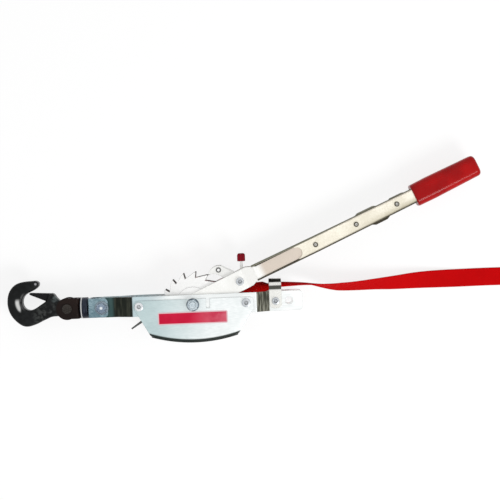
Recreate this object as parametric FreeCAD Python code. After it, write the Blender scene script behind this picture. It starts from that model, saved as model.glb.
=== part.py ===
"""Hand strap winch (come along): a ratchet drum between two flat bars, lying on its side.

Millimetres. X runs along the frame from the hook to the strap's way out, Y across it towards
the ratchet handle, and Z along the drum's axle. The origin is on the drum's axis, at the outer
face of the axle bolt's head, which is what the winch lies on. "Near" is the +Z side.
"""
import FreeCAD, Part
import math
import os

from FreeCAD import Vector

os.makedirs("parts", exist_ok=True)

# Strap
strap_width = 25.4
strap_thickness = 1.6
roll_turns = 10
roll_gap = 0.45
strap_bend_radius = 2.6
slot_clearance = 0.25

# Stack of plates on the axle, from the middle plane outwards
drum_side_gap = 1.3
wheel_thickness = 3.2
hub_disc_thickness = 1.5
yoke_thickness = 3.0
bar_thickness = 3.0
guard_thickness = 1.5
thrust_washer_thickness = 0.6
turning_gap = 0.3
face_gap = 0.2
running_fit = 0.08

# Axle and drum
axle_diameter = 9.5
axle_head_height = 6.4
axle_head_flats = 14.3
axle_nut_height = 7.6
axle_washer_diameter = 17.6
axle_washer_thickness = 2.0
drum_tube_diameter = 18.0
wheel_teeth = 16
wheel_tip_radius = 44.5
tooth_depth = 8.0
tooth_phase = 61.0
tooth_land = 2.0
hub_disc_radius = 24.0
thrust_washer_diameter = 24.0

# Side bars: wide in the middle, joggled in to a fork at each end
bar_height = 27.4
fork_half_gap = 12.3
front_wide_end = 84.5
rear_wide_end = 86.9
front_fork_start = 105.0
rear_fork_start = 104.2
front_eye_distance = 126.7
rear_fork_end = 152.0
rear_corner_radius = 5.0
bar_bend_radius = 4.0

# Fasteners through the side bars
bolt_diameter = 8.0
bolt_head_diameter = 12.5
bolt_head_height = 3.6
bolt_socket_flats = 5.0
bolt_socket_depth = 2.2
nut_flats = 13.0
nut_height = 6.4
spacer_wall = 2.0
front_bolt_distance = 74.2
rear_bolt_distance = 73.6
saddle_bolt_distance = 114.5
saddle_head_diameter = 10.5
anchor_bore_distance = 133.0
anchor_bore_diameter = 10.4
eye_washer_diameter = 19.0
eye_washer_thickness = 1.6
eye_head_height = 5.3

# Guard: a folded sheet round the drum's lower half
guard_top = 8.0
guard_front_radius = 7.8
guard_rear_corner = 6.0
guard_drop = 52.8
guard_front_low = (-58.2, -43.8)
guard_rear_low = (60.1, -44.4)
guard_rear_high = (84.0, -7.8)
guard_fold_radius = 6.5
guard_slot_place = (21.0, 2.0)
guard_slot_width = 5.0
guard_slot_height = 14.0
label_low = (-48.8, -26.6)
label_high = (47.5, -9.2)
label_thickness = 0.3
label_corner = 2.5

# Saddle that guides the strap between the rear forks
saddle_start = 106.0
saddle_length = 17.0
saddle_thickness = 2.0
saddle_centre_height = 13.6
saddle_leg_drop = 10.0
saddle_corner = 6.0

# Ratchet handle, in its own line: s along it from the axle, d across it
handle_angle = 24.26
yoke_half_width = 13.8
yoke_joggle_start = 79.5
yoke_joggle_end = 97.0
yoke_shoulder_start = 87.0
yoke_shoulder_end = 101.0
yoke_tail_end = 168.6
channel_start = 95.0
channel_end = 428.0
channel_half_width = 11.5
channel_depth = 24.0
channel_wall = 2.0
channel_edge_radius = 1.8
channel_waist = 190.0
channel_waist_top = 9.6
channel_waist_low = -12.8
channel_far = 330.0
channel_far_top = 7.5
near_tail_recess = 2.05
cover_start = 160.0
cover_notch_radius = 8.0
cover_tuck = 8.0
rivet_places = (189.0, 252.0, 315.0)
rivet_offset = -2.2
rivet_head_diameter = 7.0
rivet_head_height = 1.6
rivet_diameter = 4.0
# Pressed bulges on the channel's edges: start, end, height, side
channel_bulges = ((257.0, 289.0, 2.0, 1), (309.0, 332.0, 1.3, 1), (272.0, 300.0, 2.6, -1))

# Grip
grip_start = 342.0
grip_end = 440.0
grip_centre = -2.9
grip_lip = 2.2
grip_swell = 26.0
grip_mouth_width = 31.6
grip_mouth_depth = 31.0
grip_middle_width = 32.4
grip_middle_depth = 31.6
grip_end_width = 29.8
grip_end_depth = 29.2
grip_corner = 10.0
grip_end_round = 5.0

# Pawls
pawl_cheek_gap = 0.1
pawl_cheek_thickness = 3.0
nose_clear = 0.7
nose_height = 3.3
nose_lag = 0.4
drive_pawl_reach = 72.4
drive_pawl_offset = -0.6
drive_bolt_head_diameter = 11.0
drive_pin_place = (37.0, 46.0)
drive_pin_diameter = 7.0
drive_boss_radius = 8.4
drive_web_thickness = 2.4
drive_arch_radius = 27.5
knob_reach = (2.65, 32.9)
knob_size = 11.0
knob_depth = 18.0
knob_crown_round = 3.0
knob_edge_round = 1.2
lever_thickness = 3.0
holding_tooth = 7
holding_boss_radius = 9.5
holding_tail_elbow = (-72.4, -20.6)
holding_tail_tip = (-87.6, -31.6)
spring_wire = 1.2
coil_gap = 0.45

# Front eye: zinc yoke, swivel, black yoke and hook
eye_yoke_end = 118.0
eye_yoke_web = 143.0
eye_yoke_thickness = 3.0
eye_yoke_half_width = 13.3
swivel_diameter = 29.6
swivel_length = 12.6
stud_diameter = 14.0
stud_head_diameter = 19.0
stud_head_height = 3.4
hook_yoke_thickness = 3.0
hook_yoke_half_width = 14.2
hook_yoke_half_gap = 9.5
hook_pin_distance = 175.7
hook_pin_diameter = 8.0
hook_pin_head_diameter = 13.0
hook_pin_head_height = 2.6
hook_yoke_end = 191.0
hook_yoke_end_radius = 15.3
hook_thickness = 18.4
hook_eye_radius = 10.0
hook_edge_radius = 4.0
# The hook's outline about its pin, as x, y and heading: lower back to the tip, then the throat
hook_back = (
    (-19.0, -10.2, 182.0),
    (-33.0, -14.8, 202.0),
    (-46.0, -20.6, 198.0),
    (-57.7, -23.0, 178.0),
    (-73.6, -14.0, 134.0),
    (-83.0, 3.0, 103.0),
    (-83.2, 19.0, 80.0),
    (-75.0, 34.0, 42.0),
    (-60.5, 39.8, 6.0),
    (-46.0, 40.6, 4.0),
    (-39.2, 36.0, -90.0),
)
hook_throat = (
    (-44.5, 28.8, 212.0),
    (-57.2, 22.4, 213.0),
    (-63.2, 11.4, -92.0),
    (-55.0, 0.0, -14.0),
    (-45.0, 2.2, 27.0),
    (-36.0, 7.8, 30.0),
    (-29.5, 13.4, 62.0),
    (-24.0, 22.0, 20.0),
    (-17.5, 19.4, -58.0),
    (-10.5, 11.6, -32.0),
)
latch_pivot_place = (-22.2, 16.8)
latch_nose_place = (-51.6, 22.4)
latch_keel_place = (-31.2, 12.0)
latch_pin_diameter = 4.0
latch_width = 8.4
latch_side_gap = 0.3
latch_boss_radius = 5.4
latch_tip_radius = 1.5
latch_spring_turns = 2.5
latch_spring_leg = 8.0

# End hook on the strap's far end
end_hook_scale = 0.62
end_hook_thickness = 12.0
end_hook_edge_radius = 2.4
end_hook_neck = 5.0
end_latch_width = 5.4
end_latch_pin_diameter = 2.6
end_ring_bar = 8.0
end_ring_length = 24.0
end_ring_side = 10.0
end_ring_corner = 4.2
end_loop_clearance = 0.3
end_loop_lap = 52.0
end_loop_slope = 26.0
latch_spring_wire = 0.8

# The strap's way from the roll to the saddle and on to its end, as chosen points:
# x, y, height over the middle plane or over the surface, turn about its own line, crown
run_route = (
    (30.0, 28.8, 0.0, 8.0, 0.3),
    (48.0, 22.8, 0.0, 16.0, 0.4),
    (66.0, 17.2, 0.0, 23.0, 0.5),
    (84.0, 18.6, 0.0, 31.0, 0.5),
    (98.0, 20.0, 0.0, 30.0, 0.8),
    (107.5, 20.6, 0.0, 12.0, 3.8),
    (115.5, 22.4, 0.0, 7.0, 4.6),
    (124.8, 22.4, 0.0, 5.0, 4.4),
)
free_route = (
    (124.8, 22.4, 33.7, 5.0, 4.4),
    (143.0, 22.4, 33.7, 4.0, 2.4),
    (166.0, 20.6, 30.6, -1.0, 1.2),
    (186.0, 16.9, 26.6, -14.0, 0.8),
    (206.0, 14.6, 22.2, -27.0, 0.5),
    (232.0, 14.8, 16.8, -33.0, 0.4),
    (258.0, 16.2, 12.8, -40.0, 0.4),
    (286.0, 16.9, 9.4, -52.0, 0.3),
    (314.0, 18.8, 6.9, -65.0, 0.3),
    (345.0, 19.3, 4.0, -78.0, 0.3),
    (378.0, 19.2, 1.6, -89.0, 0.2),
    (412.0, 19.5, 1.1, -90.0, 0.1),
    (446.0, 19.2, 1.0, -90.0, 0.0),
    (470.0, 19.2, 1.0, -90.0, 0.0),
)

# What follows from the sizes above
wheel_inner = strap_width / 2 + drum_side_gap
wheel_outer = wheel_inner + wheel_thickness
hub_outer = wheel_outer + hub_disc_thickness
yoke_inner = hub_outer + turning_gap
yoke_outer = yoke_inner + yoke_thickness
bar_inner = yoke_outer + face_gap + thrust_washer_thickness
bar_outer = bar_inner + bar_thickness
guard_outer = bar_outer + guard_thickness
middle = guard_outer + axle_head_height
fork_outer = fork_half_gap + bar_thickness
wheel_root_radius = wheel_tip_radius - tooth_depth
tooth_pitch = 360.0 / wheel_teeth
spacer_radius = bolt_diameter / 2 + spacer_wall
axle_radius = axle_diameter / 2
drum_radius = drum_tube_diameter / 2
roll_start_radius = drum_radius + strap_thickness / 2 + 0.05
roll_pitch = strap_thickness + roll_gap
roll_radius = roll_start_radius + roll_turns * roll_pitch + strap_thickness / 2
cheek_inner = wheel_inner + pawl_cheek_gap
cheek_outer = cheek_inner + pawl_cheek_thickness
front_bolt = Vector(-front_bolt_distance, 0, 0)
ALONG_Z = Vector(0, 0, 1)


def save(name, *solids):
    """Write one node: a single solid, or a group of separate like solids."""
    shape = solids[0] if len(solids) == 1 else Part.makeCompound(list(solids))
    for solid in solids:
        if not solid.isValid() or solid.Volume <= 0:
            print("check", name, "valid", solid.isValid(), "volume", round(solid.Volume, 2))
    shape.exportStep(f"parts/{name}.step")
    print(name, len(shape.Solids), "solids", round(shape.Volume), "mm3")


def cylinder(radius, low, high, place=(0.0, 0.0)):
    """A round bar along Z between two heights over the middle plane."""
    base = Vector(place[0], place[1], middle + low)
    return Part.makeCylinder(radius, high - low, base, ALONG_Z)


def ring(outer, inner, low, high, place=(0.0, 0.0)):
    """A tube or washer along Z, cut a little past both ends."""
    return cylinder(outer, low, high, place).cut(cylinder(inner, low - 1, high + 1, place))


def hexagon(flats, low, high, place=(0.0, 0.0), turn=0.0):
    """A hexagonal prism along Z between two heights over the middle plane."""
    reach = flats / 2 / math.cos(math.pi / 6)
    points = []
    for step in range(7):
        angle = math.radians(60 * step + turn)
        x = place[0] + reach * math.cos(angle)
        y = place[1] + reach * math.sin(angle)
        points.append(Vector(x, y, middle + low))
    return Part.Face(Part.makePolygon(points)).extrude(Vector(0, 0, high - low))


def plate(points, low, high):
    """A flat plate: corners joined by straight lines, between two heights over the middle plane."""
    corners = [Vector(x, y, middle + low) for x, y in points]
    return Part.Face(Part.makePolygon(corners + corners[:1])).extrude(Vector(0, 0, high - low))


def outlined(edges, low, high):
    """A flat plate inside lines and arcs drawn at height zero."""
    face = Part.Face(Part.Wire(edges))
    face.translate(Vector(0, 0, middle + low))
    return face.extrude(Vector(0, 0, high - low))


def flat(x, y):
    return Vector(x, y, 0)


def line(a, b):
    return Part.LineSegment(a, b).toShape()


def arc(a, b, c):
    return Part.Arc(a, b, c).toShape()


def mirrored(shape):
    """The same piece on the other side of the winch's middle plane."""
    return shape.mirror(Vector(0, 0, middle), ALONG_Z)


def turned(shape, angle, place=(0.0, 0.0)):
    copy = shape.copy()
    copy.rotate(Vector(place[0], place[1], 0), ALONG_Z, angle)
    return copy


def rounded_line(points, radius):
    """The edges of a path of straight runs joined by tangent arcs."""
    edges = []
    start = points[0]
    for before, corner, after in zip(points, points[1:], points[2:]):
        back = (before - corner).normalize()
        on = (after - corner).normalize()
        half = (math.pi - back.getAngle(on)) / 2
        setback = radius * math.tan(half)
        first = corner + back * setback
        last = corner + on * setback
        bisector = (back + on).normalize()
        top = corner + bisector * (radius / math.cos(half) - radius)
        edges.append(line(start, first))
        edges.append(arc(first, top, last))
        start = last
    edges.append(line(start, points[-1]))
    return edges


def bent_strip(points, radius, thickness, low, high):
    """A strip bent along a path in the X-Z plane, between two Y values."""
    path = [Vector(x, low, middle + z) for x, z in points]
    sides = []
    for side in (-1, 1):
        moved = []
        for index, point in enumerate(path):
            before = path[max(index - 1, 0)]
            after = path[min(index + 1, len(path) - 1)]
            along_in = (point - before).normalize() if index else (after - point).normalize()
            along_out = (after - point).normalize() if index < len(path) - 1 else along_in
            normal_in = Vector(-along_in.z, 0, along_in.x)
            normal_out = Vector(-along_out.z, 0, along_out.x)
            halfway = (normal_in + normal_out).normalize()
            moved.append(point + halfway * (side * thickness / 2 / halfway.dot(normal_in)))
        sides.append(moved)
    edges = []
    for number, moved in enumerate(sides):
        start = moved[0]
        for before, corner, after in zip(moved, moved[1:], moved[2:]):
            back = (before - corner).normalize()
            on = (after - corner).normalize()
            turn = (after - corner).cross(corner - before).y
            inner = radius - thickness / 2
            bend = inner if (turn > 0) == (number == 0) else inner + thickness
            half = (math.pi - back.getAngle(on)) / 2
            first = corner + back * (bend * math.tan(half))
            last = corner + on * (bend * math.tan(half))
            top = corner + (back + on).normalize() * (bend / math.cos(half) - bend)
            edges.append(line(start, first))
            edges.append(arc(first, top, last))
            start = last
        edges.append(line(start, moved[-1]))
    edges.append(line(sides[0][0], sides[1][0]))
    edges.append(line(sides[0][-1], sides[1][-1]))
    face = Part.Face(Part.Wire(Part.__sortEdges__(edges)))
    return face.extrude(Vector(0, high - low, 0))


def biarc(start, leaving, end, arriving):
    """Two arcs that join two points with the given directions."""
    span = end - start
    along = leaving + arriving
    spread = 2 * (1 - leaving.dot(arriving))
    reach = span.dot(along)
    if spread < 1e-9:
        length = span.dot(span) / (2 * reach)
    else:
        length = (-reach + math.sqrt(reach * reach + spread * span.dot(span))) / spread
    joint = (start + end + (leaving - arriving) * length) * 0.5
    return [tangent_arc(start, leaving, joint), tangent_arc(end, arriving * -1, joint)]


def tangent_arc(start, leaving, end):
    """The arc from a point along a direction to an end point, shorter than half a turn."""
    span = end - start
    aside = (span - leaving * span.dot(leaving)).normalize()
    radius = span.dot(span) / (2 * span.dot(aside))
    centre = start + aside * radius
    top = centre + ((start + end) * 0.5 - centre).normalize() * radius
    return arc(start, top, end)


def coil_spring(place, radius, turns, leg, first_angle, wire=spring_wire):
    """A torsion spring round a pin along Z: close curls and two straight legs, one round wire."""
    pitch = wire + coil_gap
    low = middle - pitch * turns / 2
    points = []
    directions = []
    for step in range(int(turns * 4) + 1):
        angle = math.radians(first_angle + 90 * step)
        points.append(Vector(place[0] + radius * math.cos(angle), place[1] + radius * math.sin(angle),
                             low + pitch * step / 4))
        rise = pitch / (2 * math.pi * radius)
        directions.append(Vector(-math.sin(angle), math.cos(angle), rise).normalize())
    edges = [line(points[0] - directions[0] * leg, points[0])]
    for a, b, leaving, arriving in zip(points, points[1:], directions, directions[1:]):
        edges += biarc(a, leaving, b, arriving)
    edges.append(line(points[-1], points[-1] + directions[-1] * leg))
    path = Part.Wire(Part.__sortEdges__(edges))
    section = Part.Wire(Part.makeCircle(wire / 2, points[0] - directions[0] * leg, directions[0]))
    return path.makePipeShell([section], True, False)


def strap_section(point, along, turn, crown):
    """The strap's cross-section at a point of its route: five points on each face."""
    upright = Vector(0, 1, 0) if abs(along.y) < 0.9 else Vector(1, 0, 0)
    width_way = along.cross(upright).normalize()
    face_way = width_way.cross(along).normalize()
    angle = math.radians(turn)
    wide = width_way * math.cos(angle) - face_way * math.sin(angle)
    out = face_way * math.cos(angle) + width_way * math.sin(angle)
    shrink = 1 - 8 / 3 * (crown / strap_width) ** 2
    upper = []
    lower = []
    for share in (-1.0, -0.5, 0.0, 0.5, 1.0):
        lift = crown * (1 - share * share) - crown / 2
        slope = 2 * crown * share / (strap_width / 2)
        square = (out + wide * slope).normalize()
        centre = point + wide * (share * strap_width / 2 * shrink) + out * lift
        upper.append(centre + square * (strap_thickness / 2))
        lower.append(centre - square * (strap_thickness / 2))
    corners = upper + lower[::-1]
    return Part.makePolygon(corners + corners[:1])


def strap_stations(route):
    """Places along a route of straight runs joined by tangent arcs: point, direction, turn, crown."""
    points = [Vector(x, y, z) for x, y, z, _, _ in route]
    stations = [(points[0], (points[1] - points[0]).normalize(), route[0][3], route[0][4])]
    for index in range(1, len(points) - 1):
        before, corner, after = points[index - 1:index + 2]
        shorter = min((corner - before).Length, (after - corner).Length)
        back = (before - corner).normalize()
        on = (after - corner).normalize()
        half = (math.pi - back.getAngle(on)) / 2
        setback = 0.45 * shorter
        radius = setback / math.tan(half)
        bow = (back + on).normalize() * (radius / math.cos(half) - radius)
        for share, place in ((-1, corner + back * setback), (0, corner + bow), (1, corner + on * setback)):
            other = route[index + (1 if share > 0 else -1)]
            way = (corner - before if share < 0 else after - corner).Length
            part = abs(share) * setback / way
            turn = route[index][3] + (other[3] - route[index][3]) * part
            crown = route[index][4] + (other[4] - route[index][4]) * part
            along = (on - back if share == 0 else on if share > 0 else back * -1).normalize()
            stations.append((place, along, turn, crown))
        print("  strap bend", index, "radius", round(radius), "mm")
    stations.append((points[-1], (points[-1] - points[-2]).normalize(), route[-1][3], route[-1][4]))
    return stations


def strap_stretch(name, route):
    """A stretch of strap lofted through its stations; its volume is compared with its length."""
    stations = strap_stations(route)
    sections = [strap_section(*station) for station in stations]
    solid = Part.makeLoft(sections, True, True)
    length = sum((b[0] - a[0]).Length for a, b in zip(stations, stations[1:]))
    print(" ", name, "length", round(length, 1), "volume share",
          round(solid.Volume / (length * strap_width * strap_thickness), 3))
    return solid


def side_bar():
    """One flat bar with its two joggles, forks, eyes and bolt holes, on the near side."""
    wide = bar_inner + bar_thickness / 2
    fork = fork_half_gap + bar_thickness / 2
    front_end = front_eye_distance + bar_height / 2
    path = [(-front_end, fork), (-front_fork_start, fork), (-front_wide_end, wide),
            (rear_wide_end, wide), (rear_fork_start, fork), (rear_fork_end, fork)]
    strip = bent_strip(path, bar_bend_radius, bar_thickness, -bar_height / 2, bar_height / 2)
    half = bar_height / 2
    corner = rear_corner_radius
    rear = rear_fork_end
    lean = math.sqrt(0.5)
    outline = [
        line(flat(-front_eye_distance, half), flat(rear - corner, half)),
        arc(flat(rear - corner, half), flat(rear - corner + corner * lean, half - corner + corner * lean),
            flat(rear, half - corner)),
        line(flat(rear, half - corner), flat(rear, corner - half)),
        arc(flat(rear, corner - half), flat(rear - corner + corner * lean, corner - half - corner * lean),
            flat(rear - corner, -half)),
        line(flat(rear - corner, -half), flat(-front_eye_distance, -half)),
        arc(flat(-front_eye_distance, -half), flat(-front_end, 0), flat(-front_eye_distance, half)),
    ]
    bar = strip.common(outlined(outline, 0, bar_outer + 1))
    holes = [(-front_eye_distance, bolt_diameter / 2), (-front_bolt_distance, bolt_diameter / 2),
             (0, axle_radius), (rear_bolt_distance, bolt_diameter / 2),
             (saddle_bolt_distance, bolt_diameter / 2), (anchor_bore_distance, anchor_bore_diameter / 2)]
    for place, radius in holes:
        bar = bar.cut(cylinder(radius, 0, bar_outer + 1, (place, 0)))
    return bar


def guard_edges(rise, reach):
    """The guard's outline at height zero; rise and reach open it out to cut its inside."""
    slant = Vector(guard_front_low[0] + front_bolt_distance, guard_front_low[1], 0).normalize()
    centre = flat(-front_bolt_distance, 0)
    touching = centre + Vector(slant.y, -slant.x, 0) * guard_front_radius
    low_front = flat(*guard_front_low)
    low_rear = flat(*guard_rear_low)
    bottom = flat((guard_front_low[0] + guard_rear_low[0]) / 2, -guard_drop)
    high_rear = flat(*guard_rear_high)
    if rise:
        lift = Vector(0, rise, 0)
        aside = Vector(reach, 0, 0)
        return [
            arc(low_front + lift, bottom + lift, low_rear + lift),
            line(low_rear + lift, low_rear + lift + aside),
            line(low_rear + lift + aside, flat(low_rear.x + reach, guard_top + reach)),
            line(flat(low_rear.x + reach, guard_top + reach), flat(low_front.x - reach, guard_top + reach)),
            line(flat(low_front.x - reach, guard_top + reach), low_front + lift - aside),
            line(low_front + lift - aside, low_front + lift),
        ]
    corner = guard_rear_corner
    lean = corner * (1 - math.sqrt(0.5))
    top_front = centre + Vector(0, guard_top, 0)
    return [
        line(touching, low_front),
        arc(low_front, bottom, low_rear),
        line(low_rear, high_rear),
        line(high_rear, flat(high_rear.x, guard_top - corner)),
        arc(flat(high_rear.x, guard_top - corner), flat(high_rear.x - lean, guard_top - lean),
            flat(high_rear.x - corner, guard_top)),
        line(flat(high_rear.x - corner, guard_top), top_front),
        arc(top_front, centre + Vector(-guard_front_radius, 0, 0), touching),
    ]


def guard():
    """The belly guard: two cheeks outside the bars, joined by a folded bottom."""
    block = outlined(guard_edges(0, 0), -guard_outer, guard_outer)
    folds = [edge for edge in block.Edges
             if edge.BoundBox.YMax < guard_rear_low[1] + 2 and edge.BoundBox.XLength > 60]
    block = block.makeFillet(guard_fold_radius, folds)
    inside = outlined(guard_edges(guard_thickness, 60.0), -bar_outer, bar_outer)
    folds = [edge for edge in inside.Edges
             if edge.BoundBox.YMax < guard_rear_low[1] + 4 and edge.BoundBox.XLength > 100]
    inside = inside.makeFillet(guard_fold_radius - guard_thickness, folds)
    shell = block.cut(inside)
    for place, radius in ((-front_bolt_distance, bolt_diameter / 2), (0, axle_radius),
                          (rear_bolt_distance, bolt_diameter / 2)):
        shell = shell.cut(cylinder(radius, -guard_outer - 1, guard_outer + 1, (place, 0)))
    x, y = guard_slot_place
    wide = guard_slot_width / 2
    tall = guard_slot_height / 2
    slot = plate([(x - wide, y - tall), (x + wide, y - tall), (x + wide, y + tall), (x - wide, y + tall)],
                 bar_outer, guard_outer + 1)
    return shell.cut(slot)


def label():
    """The bare label stuck on the guard's near cheek."""
    (x0, y0), (x1, y1) = label_low, label_high
    block = Part.makeBox(x1 - x0, y1 - y0, label_thickness, Vector(x0, y0, middle + guard_outer))
    upright = [edge for edge in block.Edges if edge.BoundBox.ZLength > label_thickness / 2]
    return block.makeFillet(label_corner, upright)


def round_bolt(place, inner, outer, head_diameter):
    """A through bolt with a round socket head on the near side, up to where its nut ends."""
    shank = cylinder(bolt_diameter / 2, -inner - nut_height, outer, (place, 0))
    head = cylinder(head_diameter / 2, outer, outer + bolt_head_height, (place, 0))
    rim = [edge for edge in head.Edges if abs(edge.BoundBox.ZMax - middle - outer - bolt_head_height) < 1e-3
           and edge.BoundBox.ZLength < 1e-3]
    head = head.makeFillet(bolt_head_height * 0.45, rim)
    top = outer + bolt_head_height
    socket = hexagon(bolt_socket_flats, top - bolt_socket_depth, top + 1, (place, 0))
    return shank.fuse(head).cut(socket)


def nut(place, flats, height, start, bore, turn=0.0):
    """A hexagon nut on the far side, with broken corners on its outer face."""
    body = hexagon(flats, -start - height, -start, place, turn)
    small = flats / 2 * 0.96
    cone = Part.makeCone(small, small + flats, flats,
                         Vector(place[0], place[1], middle - start - height), ALONG_Z)
    return body.common(cone).cut(cylinder(bore, -start - height - 1, -start + 1, place))


def saddle():
    """The strap's guide: a strip bent over the rear fork, its legs bolted outside the tongues."""
    inner = fork_outer
    outer = inner + saddle_thickness
    x = saddle_start

    def point(across, up):
        return Vector(x, up, middle + across)

    crown = saddle_centre_height
    low = -saddle_leg_drop
    edges = [
        line(point(-outer, low), point(-outer, crown)),
        arc(point(-outer, crown), point(0, crown + outer), point(outer, crown)),
        line(point(outer, crown), point(outer, low)),
        line(point(outer, low), point(inner, low)),
        line(point(inner, low), point(inner, crown)),
        arc(point(inner, crown), point(0, crown + inner), point(-inner, crown)),
        line(point(-inner, crown), point(-inner, low)),
        line(point(-inner, low), point(-outer, low)),
    ]
    strip = Part.Face(Part.Wire(edges)).extrude(Vector(saddle_length, 0, 0))
    feet = [edge for edge in strip.Edges
            if abs(edge.BoundBox.YMax - low) < 1e-3 and edge.BoundBox.XLength < 1e-3
            and edge.BoundBox.ZLength > saddle_thickness / 2]
    strip = strip.makeFillet(saddle_corner, feet)
    return strip.cut(cylinder(bolt_diameter / 2, -outer - 1, outer + 1, (saddle_bolt_distance, 0)))


def drum_tube():
    """The drum's tube with the slot that the strap's end goes into."""
    tube = ring(drum_radius, axle_radius + running_fit, -hub_outer, hub_outer)
    edge = strap_bend_radius + strap_thickness / 2 + slot_clearance
    deep = drum_radius - strap_thickness - slot_clearance - 0.25
    slot = Part.makeBox(edge + slot_clearance, drum_radius, strap_width + 2 * slot_clearance,
                        Vector(-edge, deep, middle - strap_width / 2 - slot_clearance))
    return tube.cut(slot)


def ratchet_wheel():
    """One toothed wheel on the near side: steep faces turned clockwise, gentle backs."""
    points = []
    for tooth in range(wheel_teeth):
        face = tooth_phase + tooth * tooth_pitch
        for radius, angle in ((wheel_root_radius, face), (wheel_tip_radius, face),
                              (wheel_tip_radius, face + tooth_land)):
            points.append((radius * math.cos(math.radians(angle)), radius * math.sin(math.radians(angle))))
    disc = plate(points, wheel_inner, wheel_outer)
    return disc.cut(cylinder(drum_radius, wheel_inner - 1, wheel_outer + 1))


def strap_roll():
    """The wound strap: its end bent into the slot, then half turns of growing radius."""
    bend = strap_bend_radius
    low = middle - strap_width / 2
    top = roll_start_radius
    lean = bend * math.sqrt(0.5)
    edges = [arc(Vector(-bend, top - bend, low), Vector(-lean, top - bend + lean, low), Vector(0, top, low))]
    centreline = []
    for half_turn in range(2 * roll_turns):
        start = roll_start_radius + roll_pitch * half_turn / 2
        end = start + roll_pitch / 2
        side = 1 if half_turn % 2 == 0 else -1
        radius = (start + end) / 2
        centre = side * (start - end) / 2
        edges.append(arc(Vector(0, side * start, low), Vector(side * radius, centre, low),
                         Vector(0, -side * end, low)))
        steps = 36
        for step in range(steps):
            angle = math.pi / 2 - math.pi * step / steps
            centreline.append((side * radius * math.cos(angle),
                               centre + side * radius * math.sin(angle), half_turn))
    path = Part.Wire(edges)
    half = strap_thickness / 2
    start = Vector(-bend, top - bend, low)
    corners = [start + Vector(-half, 0, 0), start + Vector(half, 0, 0),
               start + Vector(half, 0, strap_width), start + Vector(-half, 0, strap_width)]
    section = Part.makePolygon(corners + corners[:1])
    roll = path.makePipeShell([section], True, False)
    least = min(math.hypot(a[0] - b[0], a[1] - b[1]) for a in centreline for b in centreline
                if b[2] - a[2] >= 2)
    print("  strap roll: turns", roll_turns, "least gap", round(least - strap_thickness, 3), "mm, length",
          round(path.Length), "mm")
    return roll


def yoke_plate(tail_height, tail_half_width, tail_low):
    """One handle plate on the near side, joggled in to its tail at the given height."""
    wide = yoke_inner + yoke_thickness / 2
    tail = tail_height
    path = [(-yoke_half_width - 2, wide), (yoke_joggle_start, wide), (yoke_joggle_end, tail),
            (yoke_tail_end, tail)]
    strip = bent_strip(path, bar_bend_radius, yoke_thickness, -yoke_half_width, yoke_half_width)
    half = yoke_half_width
    outline = [
        arc(flat(0, half), flat(-half, 0), flat(0, -half)),
        line(flat(0, -half), flat(yoke_shoulder_start, -half)),
        line(flat(yoke_shoulder_start, -half), flat(yoke_joggle_end, tail_low)),
        line(flat(yoke_joggle_end, tail_low), flat(yoke_tail_end - 8, tail_low)),
        arc(flat(yoke_tail_end - 8, tail_low), flat(yoke_tail_end, tail_low / 2 + tail_half_width / 2),
            flat(yoke_tail_end - 8, tail_half_width)),
        line(flat(yoke_tail_end - 8, tail_half_width), flat(yoke_shoulder_end, tail_half_width)),
        line(flat(yoke_shoulder_end, tail_half_width), flat(yoke_shoulder_start, half)),
        line(flat(yoke_shoulder_start, half), flat(0, half)),
    ]
    blank = strip.common(outlined(outline, 0, bar_outer))
    blank = blank.cut(cylinder(axle_radius + running_fit, 0, bar_outer))
    place = (drive_pawl_reach, drive_pawl_offset)
    return blank.cut(cylinder(bolt_diameter / 2, 0, bar_outer, place))


def channel_line(place, side):
    """How far the channel's edge lies across the handle's line at a place along it."""
    ends = ((channel_start, channel_half_width, -channel_half_width),
            (channel_waist, channel_waist_top, channel_waist_low),
            (channel_far, channel_far_top, channel_waist_low),
            (channel_end, channel_far_top - 0.5, channel_waist_low))
    pick = 1 if side > 0 else 2
    for a, b in zip(ends, ends[1:]):
        if place <= b[0]:
            return a[pick] + (b[pick] - a[pick]) * (place - a[0]) / (b[0] - a[0])
    return ends[-1][pick]


def channel_band(start, end, inset, low, high, grow=0.0):
    """A plate that follows the channel's two edges between two places along it."""
    places = [start] + [p for p in (channel_waist, channel_far) if start < p < end] + [end]
    upper = [(p, channel_line(p, 1) - inset) for p in places]
    lower = [(p, channel_line(p, -1) + inset) for p in places]
    if grow:
        upper = [(upper[0][0] - grow, upper[0][1])] + upper + [(upper[-1][0] + grow, upper[-1][1])]
        lower = [(lower[0][0] - grow, lower[0][1])] + lower + [(lower[-1][0] + grow, lower[-1][1])]
    return plate(lower + upper[::-1], low, high)


def handle_channel():
    """The handle's channel: web on the far side, open to the near side, with pressed bulges."""
    half = channel_depth / 2
    body = channel_band(channel_start, channel_end, 0, -half, half)
    long_edges = [edge for edge in body.Edges
                  if edge.BoundBox.XLength > 20 and edge.BoundBox.ZLength < 1e-3]
    body = body.makeFillet(channel_edge_radius, long_edges)
    for start, end, height, side in channel_bulges:
        ramp = height * 2
        foot = [channel_line(p, side) - side * channel_wall / 2 for p in (start, end)]
        top = [channel_line(p, side) + side * height for p in (start + ramp, end - ramp)]
        points = [(start, foot[0]), (end, foot[1]), (end, channel_line(end, side)), (end - ramp, top[1]),
                  (start + ramp, top[0]), (start, channel_line(start, side))]
        body = body.fuse(plate(points, -half + 4, half - 4))
    inside = channel_band(channel_start, channel_end, channel_wall, -half + channel_wall, half + 1, 5.0)
    body = body.cut(inside)
    for place in rivet_places:
        body = body.cut(cylinder(rivet_diameter / 2, -half - 1, half + 1, (place, rivet_offset)))
    return body.removeSplitter()


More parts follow.
